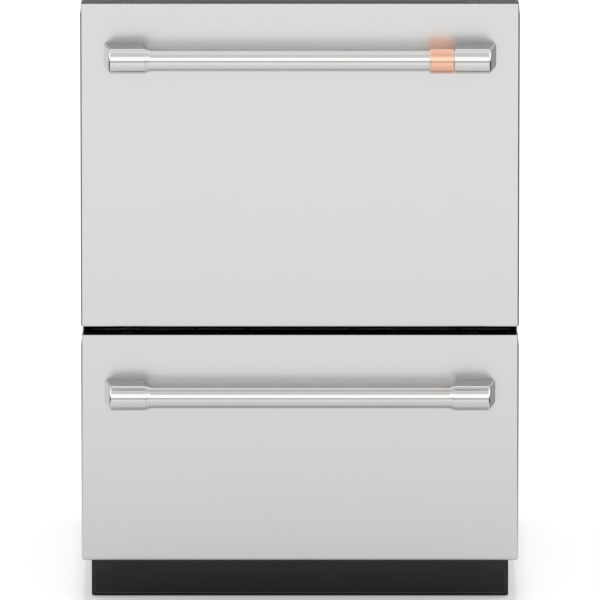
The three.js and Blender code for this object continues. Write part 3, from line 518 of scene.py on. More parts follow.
def outline(x0, x1, y0, y1, radius, steps=6):
    """Plan outline of a rectangle with round corners, anticlockwise, with as many points each time."""
    radius = max(min(radius, (x1 - x0) / 2, (y1 - y0) / 2), 0.0)
    corners = (
        (x1 - radius, y0 + radius, -0.25), (x1 - radius, y1 - radius, 0.0),
        (x0 + radius, y1 - radius, 0.25), (x0 + radius, y0 + radius, 0.5))
    return [
        (x + radius * math.cos(TAU * (start + 0.25 * i / steps)),
         y + radius * math.sin(TAU * (start + 0.25 * i / steps)))
        for x, y, start in corners
        for i in range(steps + 1)
    ]


def grown(low, high, growth, radius, steps=6):
    """The outline between two corners, grown all round, with a corner radius that grows with it."""
    return outline(
        low[0] - growth, high[0] + growth, low[1] - growth, high[1] + growth, max(radius + growth, 0), steps)


def at_height(points, z):
    return [(x, y, z) for x, y in points]


def middle_of(low, high, z=0.0):
    """The middle between two corners in plan, at a height."""
    return (low.x + high.x) / 2, (low.y + high.y) / 2, z


def drawn_points(result):
    """The new points that an extrusion made."""
    return [item for item in result["geom"] if isinstance(item, bmesh.types.BMVert)]


def drop_loose_points(made):
    bmesh.ops.delete(made, geom=[vert for vert in made.verts if not vert.link_faces], context="VERTS")


def rounded_box(low, high, radius):
    made = bmesh.new()
    bmesh.ops.create_cube(made, size=1)
    low, high = Vector(low), Vector(high)
    size = Matrix.Diagonal((*(high - low), 1))
    made.transform(Matrix.Translation((low + high) / 2) @ size)
    bmesh.ops.bevel(
        made, geom=made.edges[:], offset=radius, segments=2, profile=0.5, affect="EDGES")
    return made


def joined(*parts):
    """One mesh from several."""
    whole = bmesh.new()
    carrier = bpy.data.meshes.new("carrier")
    for part in parts:
        part.to_mesh(carrier)
        whole.from_mesh(carrier)
        part.free()
    bpy.data.meshes.remove(carrier)
    return whole


def shown(name, made, slot, nodes, body=None, sharp=SHARP):
    """Turns a mesh into a piece that rides with its nodes' body and stands for those nodes."""
    mesh = made
    if isinstance(made, bmesh.types.BMesh):
        mesh = bpy.data.meshes.new(name)
        made.to_mesh(mesh)
        made.free()
    piece = placed(name, mesh)
    mesh.materials.clear()
    mesh.materials.append(material_of(slot))
    mesh.shade_smooth()
    mesh.set_sharp_from_angle(angle=sharp)
    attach(piece, body or frame["nodes"][nodes[0]]["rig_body"])
    if nodes:
        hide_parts(*nodes)
    return piece


def soften(piece, width, segments, limit=SHARP):
    """Rounds a piece's sharp edges."""
    bevel = piece.modifiers.new("Soft edges", "BEVEL")
    bevel.width = width
    bevel.segments = segments
    bevel.limit_method = "ANGLE"
    bevel.angle_limit = limit
    bevel.harden_normals = True
    return piece


def thicken(piece, thickness):
    """Gives a sheet its thickness, inwards, with sharp edges all round it."""
    mesh = piece.data
    faces_at = [0] * len(mesh.edges)
    for loop in mesh.loops:
        faces_at[loop.edge_index] += 1
    for edge, faces in zip(mesh.edges, faces_at):
        if faces == 1:
            edge.use_edge_sharp = True
    wall = piece.modifiers.new("Sheet", "SOLIDIFY")
    wall.thickness = thickness
    wall.offset = -1
    return piece


def frame_mesh(node):
    """A node's own solid, with its loose triangles joined and its flat faces made whole."""
    flat = math.radians(0.5)
    made = bmesh.new()
    made.from_mesh(frame["nodes"][node].data)
    bmesh.ops.remove_doubles(made, verts=made.verts, dist=SAME_POINT)
    bmesh.ops.dissolve_limit(made, angle_limit=flat, verts=made.verts[:], edges=made.edges[:])
    return made


def from_frame(name, node, slot, edge, segments=3, extras=()):
    """A piece with a node's own shape and soft edges, with smaller meshes added to it."""
    made = joined(frame_mesh(node), *extras) if extras else frame_mesh(node)
    return soften(shown(name, made, slot, [node]), edge, segments)


PRESS_STEPS = 5


def pressed_sheet(edge, fields, holes, slope):
    """A flat sheet in (u, v) with pressed fields and holes, before it gets its thickness.

    A field is (low corner, high corner, corner radius, height), a hole the same without a height.
    """
    points, heights, rims = [], [], []

    def add(loop, height):
        start = len(points)
        points.extend(Vector(point) for point in loop)
        heights.extend([height] * len(loop))
        rims.extend((start + i, start + (i + 1) % len(loop)) for i in range(len(loop)))

    add(edge, 0.0)
    guard = 0.05 * slope
    for low, high, radius, height in fields:
        add(grown(low, high, guard, radius), 0.0)
        for part in evenly(0, 1, PRESS_STEPS + 1):
            eased = part * part * (3 - 2 * part)
            add(grown(low, high, -slope * part, radius), height * eased)
        add(grown(low, high, -slope - guard, radius), height)
    for low, high, radius in holes:
        add(outline(low[0], high[0], low[1], high[1], radius), None)
    corners, _, faces, sources, _, _ = delaunay_2d_cdt(points, rims, [], 1, 1e-7)
    known = [next((heights[i] for i in source if heights[i] is not None), None) for source in sources]

    def inside_hole(face):
        middle = sum((corners[i] for i in face), Vector((0, 0))) / len(face)
        return any(
            low[0] < middle.x < high[0] and low[1] < middle.y < high[1]
            and all(known[i] is None for i in face)
            for low, high, _ in holes)

    def height_at(point):
        level = 0.0
        for low, high, _, height in fields:
            if low[0] < point.x < high[0] and low[1] < point.y < high[1]:
                level = height
        return level

    made = bmesh.new()
    verts = [
        made.verts.new((point.x, point.y, height_at(point) if level is None else level))
        for point, level in zip(corners, known)
    ]
    for face in faces:
        if not inside_hole(face):
            made.faces.new([verts[i] for i in face])
    drop_loose_points(made)
    return made


def facing(made, right, up, out, place):
    """Turns a sheet drawn in (u, v) with heights towards +w to face a direction."""
    columns = Matrix((right, up, out)).transposed().to_4x4()
    made.transform(Matrix.Translation(place) @ columns)
    if columns.determinant() < 0:
        bmesh.ops.reverse_faces(made, faces=made.faces[:])
    return made


# ---- Geometry Nodes: wires, repeated parts and the strainer ----

def made_by_nodes(name, mesh, tree, values):
    """Runs a node tree on a mesh and returns the plain mesh that comes out."""
    carrier = placed(name + "_carrier", mesh)
    modifier = carrier.modifiers.new("Made", "NODES")
    modifier.node_group = tree
    sockets = {item.name: item.identifier for item in tree.interface.items_tree if item.in_out == "INPUT"}
    for key, value in values.items():
        modifier[sockets[key]] = value
    depsgraph = bpy.context.evaluated_depsgraph_get()
    result = bpy.data.meshes.new_from_object(carrier.evaluated_get(depsgraph), depsgraph=depsgraph)
    bpy.data.objects.remove(carrier)
    result.name = name
    return result


def tree_named(name, inputs, build):
    """A tree whose geometry comes out real and smooth, with the piece's material."""
    tree = bpy.data.node_groups.get(name)
    if tree is None:
        inputs = {"Geometry": "NodeSocketGeometry", **inputs, "Material": "NodeSocketMaterial"}
        tree, wiring, given, result = new_tree(
            name, "GeometryNodeTree", inputs, {"Geometry": "NodeSocketGeometry"})
        real = wiring.out("GeometryNodeRealizeInstances", {"Geometry": build(wiring, given)})
        smooth = wiring.out("GeometryNodeSetShadeSmooth", {"Geometry": real})
        inputs = {"Geometry": smooth, "Material": given["Material"]}
        wiring.feed(result, {"Geometry": wiring.out("GeometryNodeSetMaterial", inputs)})
    return tree


def round_wires():
    """Bends each run of edges to a radius and gives it a round section."""
    def build(wiring, given):
        line = wiring.out("GeometryNodeMeshToCurve", {"Mesh": given["Geometry"]})
        bent = wiring.out(
            "GeometryNodeFilletCurve", {"Curve": line, "Radius": given["Bend"], "Count": 5}, mode="POLY")
        section = wiring.out(
            "GeometryNodeCurvePrimitiveCircle", {"Resolution": given["Sides"], "Radius": given["Radius"]})
        return wiring.out(
            "GeometryNodeCurveToMesh", {"Curve": bent, "Profile Curve": section, "Fill Caps": True})
    return tree_named("Round wires", {"Radius": 1.6 * MM, "Bend": 9 * MM, "Sides": 10}, build)


def repeated_part():
    """Sets one part on every point, turned so that it faces along the point's direction."""
    def build(wiring, given):
        part = wiring.add("GeometryNodeObjectInfo", {"Object": given["Part"]}, transform_space="ORIGINAL")
        facing_to = wiring.out(
            "GeometryNodeInputNamedAttribute", {"Name": "facing"}, data_type="FLOAT_VECTOR")
        turn = wiring.out("FunctionNodeAlignRotationToVector", {"Vector": facing_to}, axis="Z")
        return wiring.out("GeometryNodeInstanceOnPoints", {
            "Points": given["Geometry"], "Instance": part.outputs["Geometry"], "Rotation": turn})
    return tree_named("Repeated part", {"Part": "NodeSocketObject"}, build)


def slotted_disc():
    """A flat ring with rings of slots through it."""
    def build(wiring, given):
        columns = wiring.math("MULTIPLY", given["Slots"], 2.0)
        rows = wiring.math("MULTIPLY_ADD", given["Rings"], 2.0, 1.0)
        grid = wiring.out("GeometryNodeMeshGrid", {
            "Size X": 1.0, "Size Y": 1.0,
            "Vertices X": wiring.math("ADD", columns, 1.0), "Vertices Y": wiring.math("ADD", rows, 1.0)})
        parts = wiring.parts(wiring.out("GeometryNodeInputPosition"))
        along = wiring.math("ADD", parts["X"], 0.5)
        outward = wiring.math("ADD", parts["Y"], 0.5)
        odd = [
            wiring.math("MODULO", wiring.math("FLOOR", wiring.math("MULTIPLY", value, cells)), 2.0)
            for value, cells in ((along, columns), (outward, rows))
        ]
        opened = wiring.out(
            "GeometryNodeDeleteGeometry", {"Geometry": grid, "Selection": wiring.math("MULTIPLY", *odd)},
            domain="FACE")
        radius = wiring.remap(outward, 0.0, 1.0, given["Inner radius"], given["Outer radius"])
        turn = wiring.math("MULTIPLY", along, TAU)
        polar = wiring.out("ShaderNodeCombineXYZ", {
            axis: wiring.math("MULTIPLY", wiring.math(part, turn), radius)
            for axis, part in (("X", "COSINE"), ("Y", "SINE"))})
        bent = wiring.out("GeometryNodeSetPosition", {"Geometry": opened, "Position": polar})
        return wiring.out("GeometryNodeMergeByDistance", {"Geometry": bent, "Distance": SAME_POINT})
    sizes = {"Slots": 96, "Rings": 7, "Inner radius": 24 * MM, "Outer radius": 84 * MM}
    return tree_named("Slotted disc", sizes, build)


def wires(name, runs, radius, bend, slot, sides=10):
    """Round wires along runs of points. A run is (points, whether it closes on itself)."""
    points, edges = [], []
    for run, closed in runs:
        start = len(points)
        points.extend(run)
        edges.extend((start + i, start + i + 1) for i in range(len(run) - 1))
        if closed:
            edges.append((len(points) - 1, start))
    mesh = bpy.data.meshes.new(name + "_runs")
    mesh.from_pydata(points, edges, [])
    values = {"Radius": radius, "Bend": bend, "Sides": sides, "Material": material_of(slot)}
    return made_by_nodes(name, mesh, round_wires(), values)


def repeat(name, part, places, slot, body):
    """A piece made of one part set at many places. A place is (point, direction that it faces)."""
    pattern = bpy.data.meshes.new(name + "_pattern")
    part.to_mesh(pattern)
    part.free()
    template = placed(name + "_template", pattern)
    mesh = bpy.data.meshes.new(name + "_places")
    mesh.from_pydata([point for point, _ in places], [], [])
    directions = mesh.attributes.new("facing", "FLOAT_VECTOR", "POINT")
    directions.data.foreach_set("vector", [value for _, way in places for value in way])
    values = {"Part": template, "Material": material_of(slot)}
    made = made_by_nodes(name, mesh, repeated_part(), values)
    bpy.data.objects.remove(template)
    return shown(name, made, slot, [], body)


def plain_bmesh(mesh):
    """A finished mesh as an editable one, with the mesh itself removed."""
    made = bmesh.new()
    made.from_mesh(mesh)
    bpy.data.meshes.remove(mesh)
    return made


# ---- Small parts used in several places ----

def screw(radius, height):
    """A sheet metal screw's head: a washer with a six-sided head, dished on top."""
    rounded = rounded_step(radius, height * 0.35, height * 0.15, 1, 2)
    washer = turned([(radius, 0), *rounded, (radius * 0.7, height * 0.5)], (0, 0, 0), segments=24)
    steps = ((0.64, 0.2), (0.64, 0.85), (0.56, 1), (0.40, 1), (0.34, 0.8))
    head = turned([(radius * out, height * up) for out, up in steps], (0, 0, 0), segments=6)
    return joined(washer, head)


def threaded(radius, start, end, pitch, place, axis="Z", tip=()):
    """A turned stem with thread ridges between two distances along its axis."""
    turns = max(int((end - start) / pitch), 1)
    step = (end - start) / turns
    root = radius - 0.4 * step
    profile = [(root, start)]
    for i in range(turns):
        profile += [(radius, start + (i + 0.5) * step), (root, start + (i + 1) * step)]
    return turned([*profile, *tip], place, axis)


def six_sided(radius, start, end, place, axis="Z"):
    """A nut's outer shape, with its corners taken off."""
    corner = 0.06 * radius
    inner = radius - 2 * corner
    return turned(
        [(inner, start), (radius, start + corner), (radius, end - corner), (inner, end)], place, axis,
        segments=6)


# ---- Drawer fronts ----

def front_skin(bay, sizes):
    """Steel sheet rounded over at both sides and below, and folded back."""
    low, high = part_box(f"{bay}_front_skin")
    cap_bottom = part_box(f"{bay}_front_cap")[0].z
    radius = sizes.edge_radius
    turn = quarter_turn(8)

    def row(inset, z):
        """The sheet's plan outline from its left fold to its right one."""
        bend = radius - inset
        left, right, front = low.x + inset, high.x - inset, low.y + inset
        side = [(0, high.y - front)] + [(bend * v, bend * (1 - s)) for s, v in turn]
        points = [(left + x, front + y, z) for x, y in side]
        return points + [(right - x, front + y, z) for x, y in reversed(side)]

    rows = [row(radius * (1 - s), low.z + radius * v) for s, v in turn]
    rows += [row(0, cap_bottom), row(0, high.z)]
    made = bmesh.new()
    grid = [[made.verts.new(point) for point in points] for points in rows]
    made.faces.new(grid[0])
    for under, over in zip(grid, grid[1:]):
        for j in range(len(under) - 1):
            depth = max(under[j].co.y, under[j + 1].co.y) - low.y
            behind_cap = over is grid[-1] and depth > sizes.sheet
            if not behind_cap:
                made.faces.new((under[j], over[j], over[j + 1], under[j + 1]))
    bmesh.ops.remove_doubles(made, verts=made.verts, dist=SAME_POINT)
    drop_loose_points(made)
    bmesh.ops.recalc_face_normals(made, faces=made.faces)
    front = max(made.faces, key=lambda face: face.calc_area())
    if front.normal.y > 0:
        bmesh.ops.reverse_faces(made, faces=made.faces[:])
    piece = thicken(shown(f"{bay}_steel_front", made, "front_steel", [f"{bay}_front_skin"]), sizes.sheet)
    soften(piece, sizes.sheet_edge, 2, math.radians(50))


def push_button(bay, kind, sizes):
    """A button with a dished top and a raised dot."""
    node = f"{bay}_{kind}_button"
    low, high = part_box(node)
    dish, corner = sizes.button_dish, 1.2 * MM
    rim = ((0, -0.5), (-0.15, -0.15), (-0.5, 0), (-1.6, 0))
    bowl = [(-2.4 * MM, high.z - 0.7 * dish), (-3.4 * MM, high.z - dish)]
    levels = [(0, low.z), *offsets(0, high.z, *rim), *bowl]
    body = loft([at_height(grown(low, high, growth, corner), z) for growth, z in levels])
    middle = middle_of(low, high, high.z - dish)
    dot = turned(offsets(0, 0, (0.9, -0.1), (0.9, 0.1), (0.5, 0.3)), middle, segments=20)
    shown(f"{bay}_{kind}_key", joined(body, dot), "button_plastic", [node])


class DISHWASHER_OT_fronts(Operator):
    """Build both drawer fronts: steel, liner, glossy cap and push buttons"""
    bl_idname = "dishwasher.fronts"
    bl_label = "Fronts"

    def execute(self, context):
        sizes = settings().fronts
        for bay in BAYS:
            front_skin(bay, sizes)
            from_frame(f"{bay}_front_backing", f"{bay}_front_liner", "liner_plastic", 1 * MM)
            from_frame(f"{bay}_gloss_cap", f"{bay}_front_cap", "black_gloss", sizes.cap_edge)
            for kind in ("power", "start"):
                push_button(bay, kind, sizes)
            liner_screws(bay)
        return {"FINISHED"}


def liner_screws(bay):
    """Screws in the backing's rear face, beside the tub."""
    low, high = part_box(f"{bay}_front_liner")
    x = (low.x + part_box(f"{bay}_tub")[0].x) / 2
    margin = 0.08 * (high.z - low.z)
    places = [((sign * x, high.y, z), (0, 1, 0))
              for z in evenly(low.z + margin, high.z - margin, 4) for sign in (-1, 1)]
    repeat(f"{bay}_front_screws", screw(4.4 * MM, 2.4 * MM), places, "runner_steel", f"{bay}_drawer")


# ---- Handles ----

BAR_FIT = 0.2 * MM             # between the bar and what goes round it
EASED = 0.5 * MM               # rounding of turned ends
BANDED = ("upper", "right")    # where the band takes the place of the bracket's cone


def bar_axis(bay):
    """The bar's y, z, radius and right end."""
    low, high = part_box(f"{bay}_handle_bar")
    return (low.y + high.y) / 2, (low.z + high.z) / 2, (high.z - low.z) / 2, high.x


def handle_bar(bay, sizes):
    """A tube with eased ends."""
    y, z, radius, end = bar_axis(bay)
    bore = radius - sizes.bar_wall
    profile = [
        (bore, -end), (radius - EASED, -end), (radius, -end + EASED), (radius, end - EASED),
        (radius - EASED, end), (bore, end)]
    made = turned(profile, (0, y, z), "X", ROUND, hollow=True)
    shown(f"{bay}_round_bar", made, "handle_steel", [f"{bay}_handle_bar"])


def handle_bracket(bay, side, sign, sizes):
    """A flared bracket: flat above, below and at its ends, and round in front, with a cone at the bar."""
    node = f"{bay}_handle_bracket_{side}"
    low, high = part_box(node)
    y, z, _, _ = bar_axis(bay)
    radius = (high.z - low.z) / 2
    outer_back = max(abs(low.x), abs(high.x))
    inner_back = outer_back - sizes.foot_length

    def outer(at):
        """The flare ends at the bar's axis, so that the round nose is cut off square."""
        return outer_back - sizes.outer_slant * min((high.y - at) / (high.y - y), 1)

    def inner(at):
        return inner_back - sizes.inner_slant * (high.y - at) / (high.y - low.y)

    def ring(reach_of, out, drop):
        flat, turns = radius - drop, [math.pi * i / 28 for i in range(29)]
        nose = [(y - flat * math.sin(turn), z - flat * math.cos(turn)) for turn in turns]
        section = [(high.y, z - flat), *nose, (high.y, z + flat)]
        return [(sign * (reach_of(at) + out), at, height) for at, height in section]

    body = loft([ring(inner, 0, 0), ring(outer, -sizes.chamfer, 0), ring(outer, 0, sizes.chamfer)])
    bmesh.ops.bisect_plane(
        body, geom=body.verts[:] + body.edges[:] + body.faces[:], plane_co=(0, y, 0), plane_no=(0, 1, 0),
        dist=SAME_POINT)
    piece = shown(f"{bay}_flared_bracket_{side}", body, "handle_steel", [node])
    piece.data.materials.append(material_of("satin_flats"))
    # Painted shade: what is level and what faces right gets the dark satin finish, which stands in for the
    # shade and dark reflections on those faces. The nose's first facet only just isn't level.
    level, to_the_right = 0.999, 0.95
    for face in piece.data.polygons:
        face.material_index = int(abs(face.normal.z) > level or face.normal.x > to_the_right)
    soften(piece, sizes.edge, 4)
    if (bay, side) != BANDED:
        bracket_collar(bay, side, sign, inner_back - sizes.inner_slant, radius, sizes)


def bracket_collar(bay, side, sign, start, radius, sizes):
    """A cone round the bar where it enters a bracket of the given radius."""
    y, z, bar_radius, _ = bar_axis(bay)
    mouth, sunk = start - sizes.collar, start + 3 * MM
    inner, tip, blunt = bar_radius + BAR_FIT, bar_radius + 0.9 * MM, 0.2 * MM
    profile = [
        (inner, mouth), (tip - blunt, mouth), (tip, mouth + EASED), (radius - EASED, start + EASED),
        (radius - EASED, sunk), (inner, sunk)]
    collar = turned([(out, sign * along) for out, along in profile], (0, y, z), "X", ROUND, hollow=True)
    shown(f"{bay}_bracket_collar_{side}", collar, "handle_steel", [], f"{bay}_drawer")


def handle_band(sizes):
    """A band with rounded ends round the upper bar's right end."""
    low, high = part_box("upper_handle_band")
    y, z, bar_radius, _ = bar_axis("upper")
    radius, ease, inner = (high.z - low.z) / 2, sizes.band_edge, bar_radius + BAR_FIT
    profile = [(inner, low.x), (radius - ease, low.x), *reversed(rounded_step(radius, low.x, ease, 1)),
               *rounded_step(radius, high.x, ease, -1), (inner, high.x)]
    made = turned(profile, (0, y, z), "X", ROUND, hollow=True)
    shown("upper_copper_band", made, "copper", ["upper_handle_band"])


class DISHWASHER_OT_handles(Operator):
    """Build both handles: bar, flared brackets and the band"""
    bl_idname = "dishwasher.handles"
    bl_label = "Handles"

    def execute(self, context):
        sizes = settings().handles
        for bay in BAYS:
            handle_bar(bay, sizes)
            for side, sign in SIDES:
                handle_bracket(bay, side, sign, sizes)
        handle_band(sizes)
        return {"FINISHED"}


# ---- Tubs and what stands in and under them ----

def to_circle(ring, middle, radius, z):
    """The ring's points drawn in to a circle, each along its own direction."""
    made = []
    for x, y in ring:
        turn = math.atan2(y - middle[1], x - middle[0])
        made.append((middle[0] + radius * math.cos(turn), middle[1] + radius * math.sin(turn), z))
    return made


def tub(bay, sizes):
    """One moulded shell: inside, rolled rim, outside and the round well below."""
    node = f"{bay}_tub"
    low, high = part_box(node)
    rim, wall, fillet, well = sizes.rim_width, sizes.wall, sizes.floor_fillet, sizes.well_radius
    middle = middle_of(low, high)
    bottom = low.z + sizes.well_depth
    floor = bottom + wall
    under_rim = high.z - sizes.rim_thickness
    turn = quarter_turn()

    def plan(growth):
        return grown((low.x + rim, low.y + rim), (high.x - rim, high.y - rim), growth, sizes.corner, 10)

    def ring(growth, z):
        return at_height(plan(growth), z)

    def round_ring(radius, z):
        return to_circle(plan(0), middle, radius, z)

    well_bend, lip, edge, neck, heel = 8 * MM, 4 * MM, 1.2 * MM, 3 * MM, 5 * MM
    rings = [round_ring(well - well_bend * (1 - s), low.z + wall + well_bend * v) for s, v in turn]
    rings += [round_ring(well + lip * v, floor - lip * (1 - s)) for s, v in turn]
    rings += [ring(-wall - fillet * (1 - s), floor + fillet * v) for s, v in turn]
    beads = (0.45, 0.78)    # how far up the wall
    for part in beads:
        bead = floor + (high.z - floor) * part
        section = ((0, -6), (-0.5, -3), (-1.2, 0), (-1.2, 3), (-0.5, 6), (0, 9))
        rings += [ring(growth, z) for growth, z in offsets(-wall, bead, *section)]
    rings += [ring(-wall + lip * v, high.z - lip * (1 - s)) for s, v in turn]
    rings += [ring(rim - edge * (1 - s), high.z - edge * v) for s, v in turn]
    rings += [ring(growth, z) for growth, z in (
        *offsets(rim, under_rim, (0, 0.5), (-0.5, 0)), *offsets(0, under_rim, (2, 0), (0, -2)))]
    rings += [ring(-fillet * v, bottom + fillet * (1 - s)) for s, v in turn]
    rings += [round_ring(well + wall + neck * (1 - s), bottom - neck * v) for s, v in turn]
    rings += [round_ring(well + wall - heel * v, low.z + heel * (1 - s)) for s, v in turn]
    shown(f"{bay}_wash_tub", loft(rings), "tub_plastic", [node])


def tub_ribs(bay, sizes):
    """Stiffening ribs under the rim at the tub's back."""
    low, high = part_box(f"{bay}_tub")
    half, sunk, depth, rounding, inset = 1.2 * MM, 0.5 * MM, 4 * MM, 0.6 * MM, 60 * MM
    foot, top = low.z + sizes.well_depth + 14 * MM, high.z - 3 * MM
    rib = rounded_box((-half, -sunk, foot), (half, depth, top), rounding)
    places = [((x, high.y - sizes.rim_width, 0), (0, 0, 1)) for x in evenly(low.x + inset, high.x - inset, 9)]
    repeat(f"{bay}_tub_ribs", rib, places, "tub_plastic", f"{bay}_drawer")


def wash_pump(bay):
    """Volute, ribbed motor and the drain pump beside it."""
    node = f"{bay}_wash_pump"
    low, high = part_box(node)
    y, top, end = (low.y + high.y) / 2, high.z, high.x
    place, under = (0, y, 0), top - 16 * MM
    volute, throat, motor, drain = -low.x, 40 * MM, 46 * MM, 17 * MM
    housing = turned([
        (throat, under - 4 * MM), (volute * 0.8, under - 2 * MM), *offsets(volute, under, (-3, 0), (0, 3)),
        *offsets(volute, top, (0, -6), (-4, -6), (-4, -1), (-5, 0))], place, segments=ROUND)
    steps = [*offsets(motor, low.z, (-4, 0), (0, 4))]
    for i in range(4):
        steps += offsets(motor, low.z + (7 + 5 * i) * MM, (0, 0), (-2, 0.8), (-2, 2.6), (0, 3.4))
    ribbed = turned([*steps, (motor, under)], place, segments=ROUND)
    ends = ((0, -26), (-2.5, -25), (-2.5, -20), (0, -19), (0, -3), (-3, 0))
    beside = turned(
        [(drain, volute * 0.5), *offsets(drain, end, *ends)], (0, y, (low.z + high.z) / 2), "X")
    shown(f"{bay}_pump_housing", joined(housing, ribbed, beside), "pump_plastic", [node])
    number, inward, first_turn = 8, 9 * MM, 0.4
    around = circle(number, volute - inward, first_turn)
    places = [((x, y + aside, under), (0, 0, -1)) for x, aside in around]
    repeat(f"{bay}_pump_screws", screw(4 * MM, 3 * MM), places, "runner_steel", f"{bay}_drawer")


def strainer(bay, sizes):
    """Slotted steel disc with a plain border, and a post on its hub."""
    node = f"{bay}_filter_plate"
    low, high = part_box(node)
    middle = Vector(middle_of(low, high, low.z))
    outer, hub, post = high.x - middle.x, 22 * MM, 9 * MM
    gap, plain, sheet, lift = 1 * MM, 5 * MM, 0.8 * MM, 0.6 * MM
    values = {"Slots": sizes.slots, "Rings": sizes.slot_rings, "Inner radius": hub + gap,
              "Outer radius": outer - plain, "Material": material_of("strainer_steel")}
    start = bpy.data.meshes.new("strainer_start")
    disc = plain_bmesh(made_by_nodes(f"{bay}_strainer_disc", start, slotted_disc(), values))
    raised = bmesh.ops.extrude_face_region(disc, geom=disc.faces[:], use_keep_orig=True)
    bmesh.ops.translate(disc, verts=drawn_points(raised), vec=(0, 0, sheet))
    disc.transform(Matrix.Translation(middle + Vector((0, 0, lift))))
    bmesh.ops.recalc_face_normals(disc, faces=disc.faces)
    section = ((-6, 0), (-0.6, 0), (0, 0.6), (0, 1.4), (-0.6, 2), (-6, 2))
    border = turned(offsets(outer, 0, *section), middle, "Z", ROUND, hollow=True)
    stem = turned([
        *offsets(hub, 0, (2, 0), (2, 1.5), (1.5, 2)), *offsets(post, 0, (3, 2), (0, 5)),
        *offsets(post, high.z - low.z, (0, -1.5), (-1.5, 0))], middle, "Z", ROUND)
    shown(f"{bay}_strainer", joined(disc, border, stem), "strainer_steel", [node])


NOZZLES = (0.22, 0.36, 0.50, 0.64, 0.78, 0.91)  # places along a blade, as a share of its reach


def spray_arm(bay):
    """Crowned blades on a hub, with slotted nozzles along both."""
    node = f"{bay}_spray_arm"
    low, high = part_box(node)
    middle = Vector(middle_of(low, high, high.z))
    cap = turned(offsets(19 * MM, 0, (0, -1), (0, 1.5), (-4, 4), (-13, 5), (-14, 4)), middle, "Z", ROUND)
    from_frame(f"{bay}_spray_blades", node, "arm_plastic", 3 * MM, 4, [cap])
    section = ((5.2, -0.4), (5.2, 0.6), (4.2, 1.6), (2.0, 1.8), (1.6, 0.4))
    nozzle = turned(offsets(0, 0, *section), (0, 0, 0), segments=24)
    reach, aside, lean = high.x - middle.x, 5 * MM, 0.12
    places = []
    for number, part in enumerate(NOZZLES):
        for way in (-1, 1):
            across = way * (aside if number % 2 else -aside)
            places.append(((middle.x + way * reach * part, middle.y + across, middle.z), (0, lean * way, 1)))
    repeat(f"{bay}_spray_nozzles", nozzle, places, "arm_plastic", f"{bay}_spray_arm")


class DISHWASHER_OT_tubs(Operator):
    """Build both tubs with their pumps, strainers and spray arms"""
    bl_idname = "dishwasher.tubs"
    bl_label = "Tubs, pumps and spray arms"

    def execute(self, context):
        sizes = settings().tubs
        for bay in BAYS:
            tub(bay, sizes)
            tub_ribs(bay, sizes)
            wash_pump(bay)
            strainer(bay, sizes)
            spray_arm(bay)
        return {"FINISHED"}


# ---- Baskets ----

# Which of the basket's wires carry tines, and how far up the walls its hoops run.
TINE_ROWS = {"upper": (2, 5, 9, 12), "lower": (3, 6, 9, 12)}
HOOPS = {"upper": (0.34, 0.67), "lower": (0.5,)}


def spread(start, end, pitch):
    """Even places from one end to the other, as near to the pitch as they fit."""
    return evenly(start, end, max(round((end - start) / pitch), 1) + 1)


def basket(bay, sizes):
    """U-shaped wires crossing at the floor, hoops round the walls, tines and feet."""
    node = f"{bay}_basket"
    low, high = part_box(node)
    half, rim = sizes.wire / 2, sizes.rim_wire / 2
    x0, x1, y0, y1 = low.x + half, high.x - half, low.y + half, high.y - half
    floor, top = low.z + sizes.floor_height + half, high.z - rim
    lie = floor + sizes.wire
    columns, rows = spread(x0, x1, sizes.pitch), spread(y0, y1, sizes.pitch)

    def hoop(inset, z):
        """A closed run round the basket."""
        left, right, front, back = x0 + inset, x1 - inset, y0 + inset, y1 - inset
        return [(left, front, z), (right, front, z), (right, back, z), (left, back, z)], True

    runs = [([(x, y0, top), (x, y0, floor), (x, y1, floor), (x, y1, top)], False) for x in columns[1:-1]]
    runs += [([(x0, y, top), (x0, y, lie), (x1, y, lie), (x1, y, top)], False) for y in rows[1:-1]]
    runs += [hoop(sizes.wire, floor + (top - floor) * part) for part in HOOPS[bay]]
    body = wires(f"{bay}_basket_wires", runs, half, sizes.bend, "coated_wire")
    rim_bend = 16 * MM
    rim_wire = wires(f"{bay}_basket_rim", [hoop(rim - half, top)], rim, rim_bend, "coated_wire", 14)
    footed = (rows[3], rows[-4])
    runs = [([(x, y, low.z + half), (x, y, floor)], False) for x in (x0, x1) for y in footed]
    side_margin, lean = 40 * MM, 4 * MM
    across = spread(x0 + side_margin, x1 - side_margin, sizes.tine_pitch)
    tined = [rows[number] for number in TINE_ROWS[bay]]
    runs += [([(x, y, lie), (x, y + lean, lie + sizes.tine_height)], False) for x in across for y in tined]
    runs += [([(x, y, lie + sizes.wire) for x in (across[0], across[-1])], False) for y in tined]
    posts = wires(f"{bay}_basket_tines", runs, half, 0.0, "coated_wire", 8)
    whole = joined(*(plain_bmesh(mesh) for mesh in (body, rim_wire, posts)))
    shown(f"{bay}_wire_basket", whole, "coated_wire", [node])


class DISHWASHER_OT_baskets(Operator):
    """Build both wire baskets"""
    bl_idname = "dishwasher.baskets"
    bl_label = "Baskets"

    def execute(self, context):
        for bay in BAYS:
            basket(bay, settings().baskets)
        return {"FINISHED"}


# ---- Dispensers, runners, lids ----

def cover_grips(low, high):
    """Three upright ribs to push the cover by."""
    width, pitch, first, margin, rounding = 2 * MM, 5 * MM, low.x + 6 * MM, 14 * MM, 0.4 * MM
    near, far = high.y - 2.4 * MM, high.y - 1.2 * MM
    return [
        rounded_box((first + pitch * i, near, low.z + margin),
                    (first + pitch * i + width, far, high.z - margin), rounding)
        for i in range(3)]


